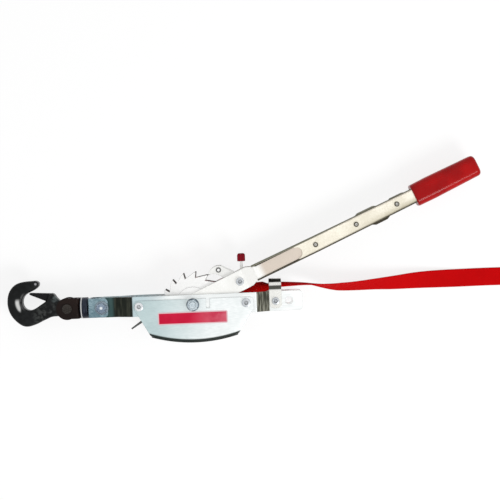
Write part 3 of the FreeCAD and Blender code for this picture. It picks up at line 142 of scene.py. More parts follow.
def webbing(name, frames, columns=20):
    """A closed woven ribbon through the frames, with rounded selvedges and UVs in metres."""
    selvedge = 0.1
    selvedge_thinning = 0.55
    back_offset = 0.05
    half = strap_width / 2
    shares = [column / columns * 2 - 1 for column in range(columns + 1)]
    rim = [(share, 1) for share in shares] + [(share, -1) for share in reversed(shares)]
    count = len(rim)
    points = []
    lengths = []
    run = 0.0
    last = frames[0][0]
    for point, across, out, cup in frames:
        run += (point - last).length
        last = point
        lengths.append(run)
        # A cupped ribbon is narrower than a flat one
        shrink = 1 - 8 / 3 * (cup / strap_width) ** 2
        for share, side in rim:
            lift = cup * (1 - share * share) - cup / 2
            slope = 4 * cup * share / strap_width
            square = (out + across * slope).normalized()
            thinned = selvedge_thinning * max(abs(share) - (1 - selvedge), 0) / selvedge
            thin = strap_thickness / 2 * (1 - thinned)
            points.append(point + across * (share * half * shrink) + out * lift + square * (thin * side))
    faces = []
    for row in range(len(frames) - 1):
        for place in range(count):
            a = row * count + place
            b = row * count + (place + 1) % count
            faces.append((a, b, b + count, a + count))
    last_row = (len(frames) - 1) * count
    faces.append(tuple(range(count - 1, -1, -1)))
    faces.append(tuple(range(last_row, last_row + count)))
    mesh = bpy.data.meshes.new(name)
    mesh.from_pydata(points, [], faces)
    layer = mesh.uv_layers.new(name="cloth")
    across_places = [(share + 1) / 2 * strap_width + (0 if side > 0 else back_offset) for share, side in rim]
    for polygon in mesh.polygons:
        for loop in polygon.loop_indices:
            vertex = mesh.loops[loop].vertex_index
            layer.data[loop].uv = (lengths[vertex // count], across_places[vertex % count])
    piece = bpy.data.objects.new(name, mesh)
    bpy.context.scene.collection.objects.link(piece)
    work = bmesh.new()
    work.from_mesh(mesh)
    bmesh.ops.recalc_face_normals(work, faces=work.faces)
    work.to_mesh(mesh)
    work.free()
    for polygon in mesh.polygons:
        polygon.use_smooth = len(polygon.vertices) == 4
    return piece


class Signal:
    """One value, colour or vector on its way through a material's nodes."""

    def __init__(self, tree, socket=None):
        self.tree = tree
        self.socket = socket

    def node(self, kind, settings=None, inputs=None, output=0):
        """A new node's output: its settings are made first, then its inputs are set or linked."""
        made = self.tree.nodes.new(kind)
        for name, value in (settings or {}).items():
            setattr(made, name, value)
        for name, value in (inputs or {}).items():
            if isinstance(value, Signal):
                self.tree.links.new(value.socket, made.inputs[name])
            else:
                made.inputs[name].default_value = value
        return Signal(self.tree, made.outputs[output])

    def worked(self, operation, *others):
        """This value, or this and others, through one Math node."""
        return self.node("ShaderNodeMath", {"operation": operation}, dict(enumerate((self, *others))))

    def __add__(self, other):
        return self.worked("ADD", other)

    __radd__ = __add__

    def __sub__(self, other):
        return self.worked("SUBTRACT", other)

    def __rsub__(self, other):
        return self.node("ShaderNodeMath", {"operation": "SUBTRACT"}, {0: other, 1: self})

    def __mul__(self, other):
        return self.worked("MULTIPLY", other)

    __rmul__ = __mul__

    def __truediv__(self, other):
        return self.worked("DIVIDE", other)

    def __rtruediv__(self, other):
        return self.node("ShaderNodeMath", {"operation": "DIVIDE"}, {0: other, 1: self})

    def step(self, low, high, start=0.0, end=1.0):
        """This value spread smoothly from start to end as it goes from low to high."""
        return self.node("ShaderNodeMapRange", {"interpolation_type": "SMOOTHSTEP"},
                         {"Value": self, "From Min": low, "From Max": high, "To Min": start, "To Max": end})

    def tint(self, first, second, blend="MIX"):
        """The first colour where this value is 0, and the second, or its blend, where it is 1."""
        return self.node("ShaderNodeMix", {"data_type": "RGBA", "blend_type": blend},
                         {0: self, 6: first, 7: second}, 2)


def finish_of(name):
    """A new material, its object coordinates, and a way to set its shader's sockets."""
    material = bpy.data.materials.new(name)
    material.use_nodes = True
    tree = material.node_tree
    shader = tree.nodes["Principled BSDF"]

    def put(**values):
        for key, value in values.items():
            socket = shader.inputs[key.replace("_", " ")]
            if isinstance(value, Signal):
                tree.links.new(value.socket, socket)
            else:
                socket.default_value = value

    return material, Signal(tree).node("ShaderNodeTexCoord", None, None, "Object"), put


def rgb(red, green, blue):
    """An opaque colour."""
    return (red, green, blue, 1.0)


def noise(here, scale, detail, **more):
    """Soft uneven mottling; a larger scale is finer."""
    return here.node("ShaderNodeTexNoise", None, {"Vector": here, "Scale": scale, "Detail": detail, **more})


def bump(here, height, strength, distance, **more):
    """The surface's direction, tipped as a relief of this height tips it."""
    return here.node("ShaderNodeBump", None,
                     {"Height": height, "Strength": strength, "Distance": distance, **more})


def axis_of(vector, axis):
    """A vector's x, y or z, for an axis of 0, 1 or 2."""
    return vector.node("ShaderNodeSeparateXYZ", None, {"Vector": vector}, axis)


def woven_finish(name, thread, shade):
    """Webbing: warp ribs along it, fine diagonal picks across them, and fuzz that dulls the shine."""
    material, here, put = finish_of(name)
    rib_pitch = 0.00155
    pick_pitch = 0.0009
    weave = here.node("ShaderNodeUVMap", {"uv_map": "cloth"})
    along = axis_of(weave, 0)
    across = axis_of(weave, 1)
    ribs = (across * (2 * math.pi / rib_pitch)).worked("COSINE") * 0.5 + 0.5
    lean = (across / rib_pitch).worked("PINGPONG", 1.0)
    picks = ((along / pick_pitch + lean) * (2 * math.pi)).worked("SINE")
    height = ribs * 0.6 + picks * ribs * 0.4
    fuzz = noise(here, 900.0, 3.0)
    soil = noise(here, 28.0, 4.0)
    tone = (ribs * 0.45 + picks * 0.15 + fuzz * 0.3 + soil * 0.35).step(0.15, 1.05)
    put(Base_Color=tone.tint(shade, thread), Roughness=0.78, Specular_IOR_Level=0.05)
    put(Normal=bump(here, height, 0.5, 0.0004))
    return material


strap_finish = woven_finish("strap_weave", rgb(0.70, 0.0015, 0.003), rgb(0.44, 0.0008, 0.0015))
free_line = smooth_line([Vector(stop[:3]) for stop in free_route])
strap_tail = webbing("strap_tail", strap_frames(free_line, free_route))
strap_tail.data.materials.append(strap_finish)
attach(strap_tail, "frame")
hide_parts("strap_free")

# Sewn eye
# The strap's last hand's breadth goes round the end hook's ring and lies back on itself, sewn down
# with a box of thread. It is the same webbing and rests on the surface.
ring_place = Vector((0.522, resting_y, 0.0061))
eye_radius = 0.0051
low_layer = 0.0010
high_layer = 0.0027
eye_corner = eye_radius / math.cos(math.pi / 8)
eye_route = [Vector((x, resting_y, low_layer)) for x in (0.470, 0.482, 0.500, 0.512)]
for corner in (-67.5, -22.5, 22.5, 67.5):
    angle = math.radians(corner)
    eye_route.append(ring_place + Vector((math.cos(angle), 0, math.sin(angle))) * eye_corner)
way_back = ((0.5199, 0.0112), (0.5120, 0.0094), (0.5035, 0.0040), (0.4960, high_layer),
            (0.4860, high_layer), (0.4720, high_layer))
eye_route += [Vector((x, resting_y, z)) for x, z in way_back]
sideways = Vector((0, 1, 0))
eye_line = smooth_line(eye_route)
eye_frames = [(point, sideways, along.cross(sideways), 0.0) for point, along in directions(eye_line)]
strap_eye = webbing("strap_eye", eye_frames)
strap_eye.data.materials.append(strap_finish)
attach(strap_eye, "frame")
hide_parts("strap_end_loop")

stitch_length = 0.0030
stitch_width = 0.0007
stitch_height = 0.00049
stitch_pitch = 0.00375
seam_height = high_layer + strap_thickness / 2
seam_start_x = 0.4745
seam_end_x = 0.4935
seam_low_y = 0.0105
seam_high_y = 0.0279
corners = [Vector((x, y, seam_height)) for x, y in (
    (seam_start_x, seam_low_y), (seam_end_x, seam_low_y), (seam_end_x, seam_high_y),
    (seam_start_x, seam_high_y))]
seams = list(zip(corners, corners[1:] + corners[:1])) + [(corners[0], corners[2]), (corners[1], corners[3])]
stitch_places = []
for start, end in seams:
    count = round((end - start).length / stitch_pitch)
    slant = math.atan2(end.y - start.y, end.x - start.x)
    stitch_places += [(start.lerp(end, (number + 0.5) / count), slant) for number in range(count)]
bpy.ops.object.select_all(action="DESELECT")
bpy.ops.mesh.primitive_uv_sphere_add(segments=8, ring_count=5, radius=0.5, location=(0, 0, 0))
strap_stitching = bpy.context.object
strap_stitching.name = "strap_stitching"
strap_stitching.scale = (stitch_length, stitch_width, stitch_height)
bpy.ops.object.transform_apply(location=False, rotation=False, scale=True)
bpy.ops.object.shade_smooth()
for place, slant in stitch_places[1:]:
    stitch = strap_stitching.copy()
    stitch.data = strap_stitching.data.copy()
    stitch.location = place
    stitch.rotation_euler.z = slant
    bpy.context.scene.collection.objects.link(stitch)
    stitch.select_set(True)
strap_stitching.location, strap_stitching.rotation_euler.z = stitch_places[0]
bpy.ops.object.join()
bpy.ops.object.transform_apply(location=True, rotation=True, scale=True)
thread_material, here, put = finish_of("sewing_thread")
strands = noise(here, 2500.0, 2.0).step(0.3, 0.7)
put(Base_Color=strands.tint(rgb(0.02, 0.001, 0.001), rgb(0.09, 0.006, 0.006)), Roughness=0.6)
strap_stitching.data.materials.append(thread_material)
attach(strap_stitching, "frame")
bpy.ops.object.select_all(action="DESELECT")

# Strap inside the winch
# The webbing comes round the roll's front, leaves its top and tilts as it runs back to the saddle, where it
# cups to fit under the arch. It gets a brighter copy of the webbing's colours, as painted light against the
# shade inside the winch.
outer_layer = 0.0322
lead_start = 0.0060
layer_corner = outer_layer / math.cos(math.pi / 8)
wrapped_route = []
for corner in (247.5, 202.5, 157.5, 112.5):
    angle = math.radians(corner)
    wrapped_route.append((layer_corner * math.cos(angle), layer_corner * math.sin(angle), middle_height))
lead_route = (
    (lead_start, 0.0319, middle_height, 0, 0.0002),
    (0.0260, 0.0268, middle_height, 8, 0.0003),
    (0.0460, 0.0219, middle_height, 16, 0.0004),
    (0.0660, 0.0172, middle_height, 23, 0.0005),
    (0.0840, 0.0186, middle_height, 31, 0.0005),
    (0.0980, 0.0200, middle_height, 30, 0.0008),
    (0.1075, 0.0206, middle_height, 12, 0.0038),
    (0.1155, 0.0224, middle_height, 7, 0.0046),
    (*strap_exit, exit_turn, exit_cup),
)
upright = Vector((0, 0, 1))
run_line = smooth_line([Vector(stop[:3]) for stop in (*wrapped_route, *lead_route)])
run_frames = [(point, upright, upright.cross(along), 0.0) for point, along in directions(run_line)
              if point.x < lead_start]
run_frames += strap_frames([point for point in run_line if point.x >= lead_start], lead_route)
strap_lead = webbing("strap_lead", run_frames)
# A brighter copy of the webbing: painted light for the lead in the winch's shade
lit_lead_finish = woven_finish("strap_weave_lit", rgb(0.95, 0.006, 0.004), rgb(0.62, 0.003, 0.002))
strap_lead.data.materials.append(lit_lead_finish)
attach(strap_lead, "frame")
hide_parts("strap_run")

# Wound strap
# Ten turns of the same webbing lie on the drum tube between the ratchet wheels. The inner end is
# tucked into the tube's slot.
roll_start = 0.00985
roll_pitch = 0.00205
roll_turns = 10
steps_a_turn = 44
# How far the turns sway sideways and wander in and out, in metres, and the rates in radians a turn
roll_sway = 0.0004
sway_rate = 2.3
roll_wander = ((0.00018, 5.1), (0.00012, 13.7))
roll_frames = []
for step in range(roll_turns * steps_a_turn + 1):
    turns = step / steps_a_turn
    angle = math.pi / 2 - turns * 2 * math.pi
    wander = sum(rise * math.sin(turns * rate) for rise, rate in roll_wander)
    radius = roll_start + roll_pitch * turns + wander
    out = Vector((math.cos(angle), math.sin(angle), 0))
    height = middle_height + roll_sway * math.sin(turns * sway_rate)
    roll_frames.append((out * radius + upright * height, upright, out, 0.0))
strap_wound = webbing("strap_wound", roll_frames, 10)
strap_wound.data.materials.append(strap_finish)
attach(strap_wound, "drum")
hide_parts("strap_roll")


# Side bars
# Two pressed steel bars, bright zinc plated, hold everything between them. Their joggled necks bend in to
# the forks; on the near bar they carry painted dark reflections, and both bars carry painted shade, bluer
# towards the front.
def dress(material, *nodes):
    """Gives CAD nodes their finish, in every slot."""
    for node in nodes:
        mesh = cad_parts[node].data
        if not mesh.materials:
            mesh.materials.append(material)
        for place in range(len(mesh.materials)):
            mesh.materials[place] = material


def mapped(here, scale, turn=(0.0, 0.0, 0.0)):
    """Stretched and turned coordinates, on which noise becomes a grain."""
    return here.node("ShaderNodeMapping", None, {"Vector": here, "Rotation": turn, "Scale": scale})


def eased_edges(here, radius, samples=4):
    """The surface's direction, rounded over its edges."""
    return here.node("ShaderNodeBevel", {"samples": samples}, {"Radius": radius})


def along_way(vector, way):
    """How far a vector goes along a direction."""
    return vector.node("ShaderNodeVectorMath", {"operation": "DOT_PRODUCT"}, {0: vector, 1: way}, "Value")


def flatness(here, eased):
    """1 on flat places, and less where the eased direction turns away at an edge."""
    return along_way(eased, here.node("ShaderNodeNewGeometry", None, None, "Normal"))


def between(value, low, high, soft):
    """1 where the value lies between low and high, fading over soft at each side."""
    return value.step(low - soft, low + soft) * (1 - value.step(high - soft, high + soft))


def plated(name, bright, dull, grain=(1.0, 1.0, 1.0), roughness=0.34, metal=0.75, gloss=0.5, edges=0.5,
           glint=1.0, marks=None):
    """Zinc plate: faint clouds, a rolled grain, fine scuffs, grime with painted shade in its corners, and
    painted shade on its eased edges.
    """
    edge_shade_tone = rgb(0.10, 0.10, 0.095)
    grime_and_shade_tone = rgb(0.035, 0.034, 0.030)
    material, here, put = finish_of(name)
    clouds = noise(here, 24.0, 4.0)
    rolled = noise(mapped(here, grain), 800.0, 3.0)
    scuffs = noise(mapped(here, (0.05, 1.0, 1.0), (0.0, 0.0, 0.6)), 700.0, 2.0).step(0.64, 0.72)
    colour = (clouds * 0.55 + rolled * 0.45).step(0.36, 0.62).tint(dull, bright)
    colour = (scuffs * 0.35).tint(colour, bright)
    if marks is not None:
        colour = marks(here, colour)
    # Painted shade along the eased edges
    rim = flatness(here, eased_edges(here, 0.0009)).step(0.985, 0.86)
    colour = (rim * edges).tint(colour, edge_shade_tone)
    # Grime and painted shade in the corners, where the surface is closed in
    open_air = here.node("ShaderNodeAmbientOcclusion", {"samples": 4, "only_local": True},
                         {"Distance": 0.003}, "AO")
    colour = (open_air.step(0.80, 0.30) * 0.85).tint(colour, grime_and_shade_tone)
    put(Base_Color=colour, Metallic=metal, Specular_IOR_Level=gloss, Specular_Tint=rgb(glint, glint, glint))
    put(Roughness=(clouds * 0.5 + rolled * 0.5).step(0.35, 0.65, roughness - 0.05, roughness + 0.08))
    put(Normal=bump(here, rolled - scuffs * 0.5, 0.06, 0.0003, Normal=eased_edges(here, 0.0005)))
    return material


def front_shade(here, colour):
    """Painted shade: bluer, darker zinc towards the front."""
    return axis_of(here, 0).step(-0.02, -0.08).tint(colour, rgb(0.60, 0.72, 0.76), "MULTIPLY")


def neck_reflections(here, colour):
    """Painted dark reflections on a bar's joggled necks, with streaks across them and a blue-green end at
    the front.
    """
    front_neck = (-0.1218, -0.0832, 0.0009)
    rear_neck = (0.0882, 0.1060, 0.0007)
    blued_end = (-0.1080, -0.1140)
    x = axis_of(here, 0)
    streaks = noise(mapped(here, (1.0, 0.10, 0.10)), 420.0, 3.0)
    front = streaks.step(0.42, 0.75).tint(rgb(0.008, 0.011, 0.007), rgb(0.040, 0.043, 0.030))
    front = (x.step(*blued_end) * 0.7).tint(front, rgb(0.05, 0.11, 0.11))
    rear = streaks.step(0.38, 0.66).tint(rgb(0.040, 0.040, 0.028), rgb(0.26, 0.26, 0.21))
    colour = between(x, *front_neck).tint(front_shade(here, colour), front)
    return between(x, *rear_neck).tint(colour, rear)


for node, name, marks in (("side_bar_near", "near_bar_zinc", neck_reflections),
                          ("side_bar_far", "far_bar_zinc", front_shade)):
    dress(plated(name, rgb(0.90, 0.92, 0.91), rgb(0.80, 0.83, 0.83), (0.08, 1.0, 1.0), marks=marks), node)

# Belly guard
# One folded sheet round the drum's lower half, bolted outside the bars. Its lower folds carry a painted dark
# reflection, and its front a bluer painted shade.
guard_low, guard_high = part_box("belly_guard")
guard_half_depth = (guard_high.z - guard_low.z) / 2
# How far in from the guard's sides a fold's painted dark reflection begins, and where it is full
fold_start = 0.0066
fold_full = 0.0045


def facing(here):
    """The direction in which the surface faces."""
    return here.node("ShaderNodeTexCoord", None, None, "Normal")


def guard_shade(here, colour):
    """Painted shade, bluer and darker towards the front, and a painted dark reflection along each lower
    fold.
    """
    shaded_front = axis_of(here, 0).step(0.050, -0.070).tint(colour, rgb(0.57, 0.68, 0.69), "MULTIPLY")
    off_middle = (axis_of(here, 2) - middle_height).worked("ABSOLUTE")
    slope = axis_of(facing(here), 1).step(-0.04, -0.30)
    fold_reflection = slope * off_middle.step(guard_half_depth - fold_start, guard_half_depth - fold_full)
    return (fold_reflection * 0.97).tint(shaded_front, rgb(0.008, 0.013, 0.010))


dress(plated("guard_zinc", rgb(0.93, 0.95, 0.95), rgb(0.82, 0.86, 0.86), (0.2, 1.0, 1.0), 0.36, glint=0.25,
             marks=guard_shade), "belly_guard")

# Label
# A bare red sticker on the guard's near cheek, with painted glare that makes it paler towards its rear end,
# and a thin pale rim.
label_low, label_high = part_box("guard_label")
label_rim = (0.0019, 0.0012)
glare_end = (-0.01, 0.05)
label_material, here, put = finish_of("label_red")
x = axis_of(here, 0)
y = axis_of(here, 1)
inset_x = (x - label_low.x).worked("MINIMUM", label_high.x - x)
inset_y = (y - label_low.y).worked("MINIMUM", label_high.y - y)
rim = inset_x.worked("MINIMUM", inset_y).step(*label_rim)
sheen = noise(here, 55.0, 3.0)
print_tone = sheen.step(0.3, 0.7).tint(rgb(0.58, 0.006, 0.040), rgb(0.66, 0.012, 0.056))
glare_tone = sheen.step(0.35, 0.65).tint(rgb(0.62, 0.065, 0.120), rgb(0.74, 0.20, 0.26))
# Painted glare: a paler, pinker red towards the rear end
tone = (x.step(*glare_end) * 0.8).tint(print_tone, glare_tone)
put(Base_Color=rim.tint(tone, rgb(0.80, 0.56, 0.60)), Roughness=0.35, Specular_IOR_Level=0.12)
put(Normal=bump(here, sheen, 0.05, 0.0005))
dress(label_material, "guard_label")


# Bolts, nuts and spacers
# Zinc-plated bolts with round socket heads, hexagon nuts and spacer tubes hold the frame together.
# The axle and eye bolts have hexagon heads and threaded shanks.
def off_axis(here, x, y):
    """How far a point lies from the upright line through x and y."""
    level = here.node("ShaderNodeVectorMath", {"operation": "MULTIPLY"}, {0: here, 1: (1, 1, 0)})
    return level.node("ShaderNodeVectorMath", {"operation": "DISTANCE"}, {0: level, 1: (x, y, 0)}, "Value")


def middle_of(node):
    """The x and y of a node's middle."""
    low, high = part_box(node)
    return (low.x + high.x) / 2, (low.y + high.y) / 2


def threads(here, colour):
    """Dark thread grooves on surfaces that stand upright."""
    thread_pitch = 0.00125
    standing = axis_of(facing(here), 2).worked("ABSOLUTE").step(0.6, 0.3)
    grooves = (axis_of(here, 2) * (2 * math.pi / thread_pitch)).worked("SINE").step(0.1, 0.9)
    return (standing * grooves * 0.7).tint(colour, rgb(0.06, 0.06, 0.06))


def bright_middle(here, colour):
    """The head's middle is bright, and its shank is threaded."""
    bright_spot = (0.0026, 0.0012)
    away = off_axis(here, *middle_of("eye_bolt"))
    return (away.step(*bright_spot) * 0.9).tint(threads(here, colour), rgb(0.86, 0.90, 0.92))


bolt_finish = plated("bolt_zinc", rgb(0.80, 0.82, 0.84), rgb(0.50, 0.53, 0.56), roughness=0.30, edges=0.85)
dress(bolt_finish, "frame_bolt_nuts", "saddle_nut", "eye_nut", "front_spacer", "rear_spacer",
      "saddle_spacer", "eye_spacer", "thrust_washers", "frame_bolts", "saddle_bolt", "drive_pawl_bolt")
dress(plated("axle_zinc", rgb(0.76, 0.84, 0.88), rgb(0.34, 0.42, 0.47), roughness=0.26, edges=0.95,
             marks=threads), "axle_bolt", "axle_nut")
dress(plated("washer_zinc", rgb(0.36, 0.44, 0.50), rgb(0.08, 0.11, 0.14), roughness=0.28, edges=0.95),
      "axle_washer", "eye_washers")
dress(plated("eye_bolt_zinc", rgb(0.34, 0.42, 0.52), rgb(0.10, 0.14, 0.20), roughness=0.26, edges=0.95,
             marks=bright_middle), "eye_bolt")


# Strap saddle
# A bright strip bent over the rear fork; it guides the strap out and is bolted through both tongues.
# Its bend carries two bands of painted dark reflection.
def saddle_reflections(here, colour):
    """Two bands of painted dark reflection along the bend."""
    upper_band = (0.0258, 0.0300, 0.0006)
    lower_band = (0.0160, 0.0216, 0.0010)
    y = axis_of(here, 1)
    reflection_bands = between(y, *upper_band) + between(y, *lower_band)
    return (reflection_bands * 0.94).tint(colour, rgb(0.022, 0.024, 0.015))


dress(plated("saddle_zinc", rgb(0.92, 0.92, 0.88), rgb(0.80, 0.80, 0.76), roughness=0.26,
             marks=saddle_reflections), "strap_saddle")


# Drum
# A steel tube runs through two stamped ratchet wheels, with a hub disc fixed outside each. The far wheel's
# teeth carry painted shadow on the side towards the strap.
def shaded_teeth(here, colour):
    """Painted shadow over the teeth, thinner in patches."""
    over_teeth = (0.0345, 0.0375)
    patches = noise(here, 170.0, 3.0).step(0.25, 0.45, 0.65, 0.95)
    strap_side = axis_of(facing(here), 2).step(0.4, 0.8)
    teeth_shadow = off_axis(here, 0, 0).step(*over_teeth) * strap_side
    return (teeth_shadow * patches).tint(colour, rgb(0.055, 0.052, 0.046))


dress(plated("wheel_zinc", rgb(0.95, 0.95, 0.94), rgb(0.87, 0.87, 0.86), roughness=0.38, edges=0.8),
      "drum_tube", "hub_discs", "ratchet_wheel_near")
dress(plated("far_wheel_zinc", rgb(0.90, 0.90, 0.89), rgb(0.80, 0.80, 0.79), roughness=0.38,
             marks=shaded_teeth), "ratchet_wheel_far")

# Handle
# Two pressed plates carry a folded channel with a cover strip and three hollow rivets. Painted shade darkens
# the channel's flanges and the cover's lower side, and makes the plates' tails in the channel a warm beige.
handle_turn = math.radians(24.26)
handle_way = Vector((math.cos(handle_turn), math.sin(handle_turn), 0))
handle_side = Vector((-math.sin(handle_turn), math.cos(handle_turn), 0))
rivet_offset = -0.0022
rivet_middles = [handle_way * place + handle_side * rivet_offset for place in (0.189, 0.252, 0.315)]


def channel_shade(here, colour):
    """Painted shade: a beige back, darkened rims, an olive upper flange and a dark lower flange."""
    lower_rim = (-0.0088, -0.0096)
    upper_rim = (0.0072, 0.0082)
    lean = along_way(facing(here), handle_side)
    level = axis_of(facing(here), 2).worked("ABSOLUTE").step(0.7, 0.95)
    side = along_way(here, handle_side)
    colour = level.tint(colour, rgb(0.70, 0.63, 0.55))
    colour = (side.step(*lower_rim) * 0.96).tint(colour, rgb(0.040, 0.034, 0.020))
    colour = (side.step(*upper_rim) * 0.85).tint(colour, rgb(0.19, 0.19, 0.135))
    colour = (lean.step(0.25, 0.7) * 0.9).tint(colour, rgb(0.17, 0.17, 0.115))
    return (lean.step(-0.25, -0.7) * 0.95).tint(colour, rgb(0.030, 0.026, 0.015))


def cover_shade(here, colour):
    """Cream plating with painted shade that turns it olive along the cover's lower side towards the grip and
    dark at its lower edge.
    """
    towards_grip = (0.20, 0.34)
    lower_half = (-0.001, -0.0115)
    lower_edge = (-0.0088, -0.0118)
    out = along_way(here, handle_way).step(*towards_grip)
    side = along_way(here, handle_side)
    colour = (out * side.step(*lower_half) * 0.75).tint(colour, rgb(0.42, 0.38, 0.26))
    return (side.step(*lower_edge) * 0.85).tint(colour, rgb(0.13, 0.115, 0.070))


def rivet_rings(here, colour):
    """A dark ring round each hollow rivet's light middle."""
    ring = (0.0018, 0.0040, 0.0003)
    near, *others = [off_axis(here, middle.x, middle.y) for middle in rivet_middles]
    for away in others:
        near = near.worked("MINIMUM", away)
    return (between(near, *ring) * 0.96).tint(colour, rgb(0.045, 0.038, 0.022))


def tail_shade(here, colour):
    """Painted shade: the plates' tails, pressed into the channel, are a warm beige."""
    tail_start = (0.1010, 0.1120)
    return along_way(here, handle_way).step(*tail_start).tint(colour, rgb(0.66, 0.58, 0.50))


dress(plated("plate_zinc", rgb(0.95, 0.95, 0.93), rgb(0.88, 0.88, 0.85), roughness=0.36, edges=0.6,
             marks=tail_shade), "yoke_plate_near", "yoke_plate_far")
dress(plated("channel_zinc", rgb(0.74, 0.72, 0.64), rgb(0.60, 0.58, 0.50), glint=0.25,
             marks=channel_shade), "handle_channel")
dress(plated("cover_zinc", rgb(0.90, 0.86, 0.75), rgb(0.80, 0.75, 0.62), roughness=0.38,
             marks=cover_shade), "handle_cover")
dress(plated("rivet_zinc", rgb(0.94, 0.93, 0.88), rgb(0.84, 0.83, 0.78), edges=0.2,
             marks=rivet_rings), "handle_rivets")

# Grip
# Red vinyl, dipped over the channel's end: glossy, a little uneven, with fine pits and drips. Its
# mouth is a darker red.
grip_mouth = (0.349, 0.343)
grip_material, here, put = finish_of("grip_red")
cloud = noise(here, 38.0, 3.0)
pits = noise(here, 700.0, 2.0)
orange_skin = noise(here, 260.0, 1.0)
mouth = along_way(here, handle_way).step(*grip_mouth)
tone = cloud.step(0.3, 0.7).tint(rgb(0.33, 0.0006, 0.0014), rgb(0.44, 0.0016, 0.0022))
put(Base_Color=(mouth * 0.35).tint(tone, rgb(0.20, 0.002, 0.003)), Specular_IOR_Level=0.10)
put(Roughness=cloud.step(0.3, 0.7, 0.22, 0.32), Coat_Weight=0.12, Coat_Roughness=0.10)
put(Normal=bump(here, orange_skin * 0.7 + pits * 0.3 + cloud * 1.5, 0.12, 0.0006))
dress(grip_material, "handle_grip")


# Pawls
# Pressed steel cheeks that rock on their bolts; the drive pawl has a lever with a soft ribbed knob.
# Coiled wire springs hold them, and the hooks' latches, to their work.
def pawl_arch_shade(here, colour):
    """Painted shade on the drive pawl's belly and along the arched crease above it."""
    arch_middle = (0.0194, -0.0073)
    crease = (0.0463, 0.0479, 0.0003)
    belly = axis_of(facing(here), 1).step(-0.3, -0.8)
    colour = (belly * 0.85).tint(colour, rgb(0.05, 0.05, 0.045))
    away = off_axis(here, *arch_middle)
    return (between(away, *crease) * 0.93).tint(colour, rgb(0.035, 0.035, 0.032))


def pin_ring(here, colour):
    """A dark ring round the pin's light middle, where its head is peened over."""
    ring_start = (0.0017, 0.0021)
    away = off_axis(here, *middle_of("drive_pawl_pin"))
    return (away.step(*ring_start) * 0.9).tint(colour, rgb(0.045, 0.045, 0.042))


def dark_tail(here, colour):
    """The holding pawl's tail is darker below the guard."""
    darker_part = (-0.0150, -0.0195)
    return axis_of(here, 1).step(*darker_part).tint(colour, rgb(0.09, 0.095, 0.09))


dress(plated("drive_pawl_zinc", rgb(0.84, 0.84, 0.82), rgb(0.76, 0.76, 0.74), marks=pawl_arch_shade), "drive_pawl")
dress(plated("pin_zinc", rgb(0.86, 0.86, 0.85), rgb(0.70, 0.70, 0.69), marks=pin_ring), "drive_pawl_pin")
dress(plated("holding_pawl_zinc", rgb(0.74, 0.75, 0.74), rgb(0.64, 0.65, 0.64), marks=dark_tail),
      "holding_pawl")
dress(plated("spring_wire", rgb(0.42, 0.42, 0.42), rgb(0.25, 0.25, 0.26), roughness=0.3),
      "drive_pawl_spring", "holding_pawl_spring", "hook_latch_spring", "end_hook_latch_spring")
knob_rib_pitch = 0.0022
knob_material, here, put = finish_of("knob_red")
cloud = noise(here, 140.0, 2.0)
ribs = ((axis_of(here, 0) + axis_of(here, 2)) * (2 * math.pi / knob_rib_pitch)).worked("SINE")
tone = (cloud * 0.4 + ribs * 0.32 + 0.3).step(0.2, 0.9)
put(Base_Color=tone.tint(rgb(0.09, 0.001, 0.005), rgb(0.31, 0.003, 0.014)))
put(Roughness=0.42, Specular_IOR_Level=0.10, Normal=bump(here, ribs, 0.25, 0.0004))
dress(knob_material, "release_knob")


# Front eye and swivel
# A zinc yoke on its bolt, a dark turned swivel barrel with a painted highlight round its lip, and a
# brown-black yoke that carries the hook on its pin.
def lip_highlight(here, colour):
    """A painted highlight round the barrel's turned lip."""
    lip = (-0.1567, -0.1554, 0.0003)
    return between(axis_of(here, 0), *lip).tint(colour, rgb(0.62, 0.62, 0.61))


dress(plated("eye_zinc", rgb(0.30, 0.42, 0.47), rgb(0.10, 0.18, 0.22), (0.3, 1.0, 1.0), 0.24), "eye_yoke")
dress(plated("swivel_steel", rgb(0.032, 0.038, 0.055), rgb(0.004, 0.005, 0.010), (1.0, 0.2, 0.2), 0.24,
             gloss=0.2, marks=lip_highlight), "swivel_barrel")
dress(bolt_finish, "swivel_stud")
dress(plated("yoke_black", rgb(0.016, 0.008, 0.006), rgb(0.006, 0.003, 0.0025), metal=0.0, gloss=0.12,
             edges=0.0), "hook_yoke")
dress(plated("pin_black", rgb(0.060, 0.052, 0.046), rgb(0.010, 0.008, 0.006), metal=0.0, gloss=0.12),
      "hook_pin")

# Hooks
# Drop-forged hooks, black and glossy over a slightly rough forged skin, worn along the edges, with painted
# highlights there and in the bowl, and painted reflections at the bowl's edge, tip, shank and shoulder. Each
# has a sprung latch.
bowl_middle = (-0.2277, 0.0120)
highlight_ring = (0.0150, 0.0200, 0.0016)
highlight_front = (-0.2395, -0.2425)
highlight_height = (-0.0015, 0.0145, 0.0030)
bowl_ring = (0.0118, 0.0146, 0.0010)
bowl_front = (-0.2330, -0.2390)
tip_spot = (-0.2188, 0.0362)
tip_highlight_size = (0.0021, 0.0011)
shank_part = (-0.222, -0.190, 0.006)
shank_side = (0.012, 0.004)
shoulder_spot = (-0.1920, 0.0150)
shoulder_reflection_size = (0.0075, 0.0030)
hook_material, here, put = finish_of("hook_black")
x = axis_of(here, 0)
y = axis_of(here, 1)
skin = noise(here, 160.0, 5.0, Roughness=0.6)
lumps = noise(here, 45.0, 2.0)
tone = (skin * 0.6 + lumps * 0.4).step(0.35, 0.68)
tone = tone.tint(rgb(0.0025, 0.0028, 0.0030), rgb(0.010, 0.011, 0.0115))
eased = eased_edges(here, 0.0050, 8)
# Edges worn bare in places, with painted highlight where they round over
worn_and_lit_edges = flatness(here, eased).step(0.93, 0.80) * skin.step(0.42, 0.60)
away = off_axis(here, *bowl_middle)
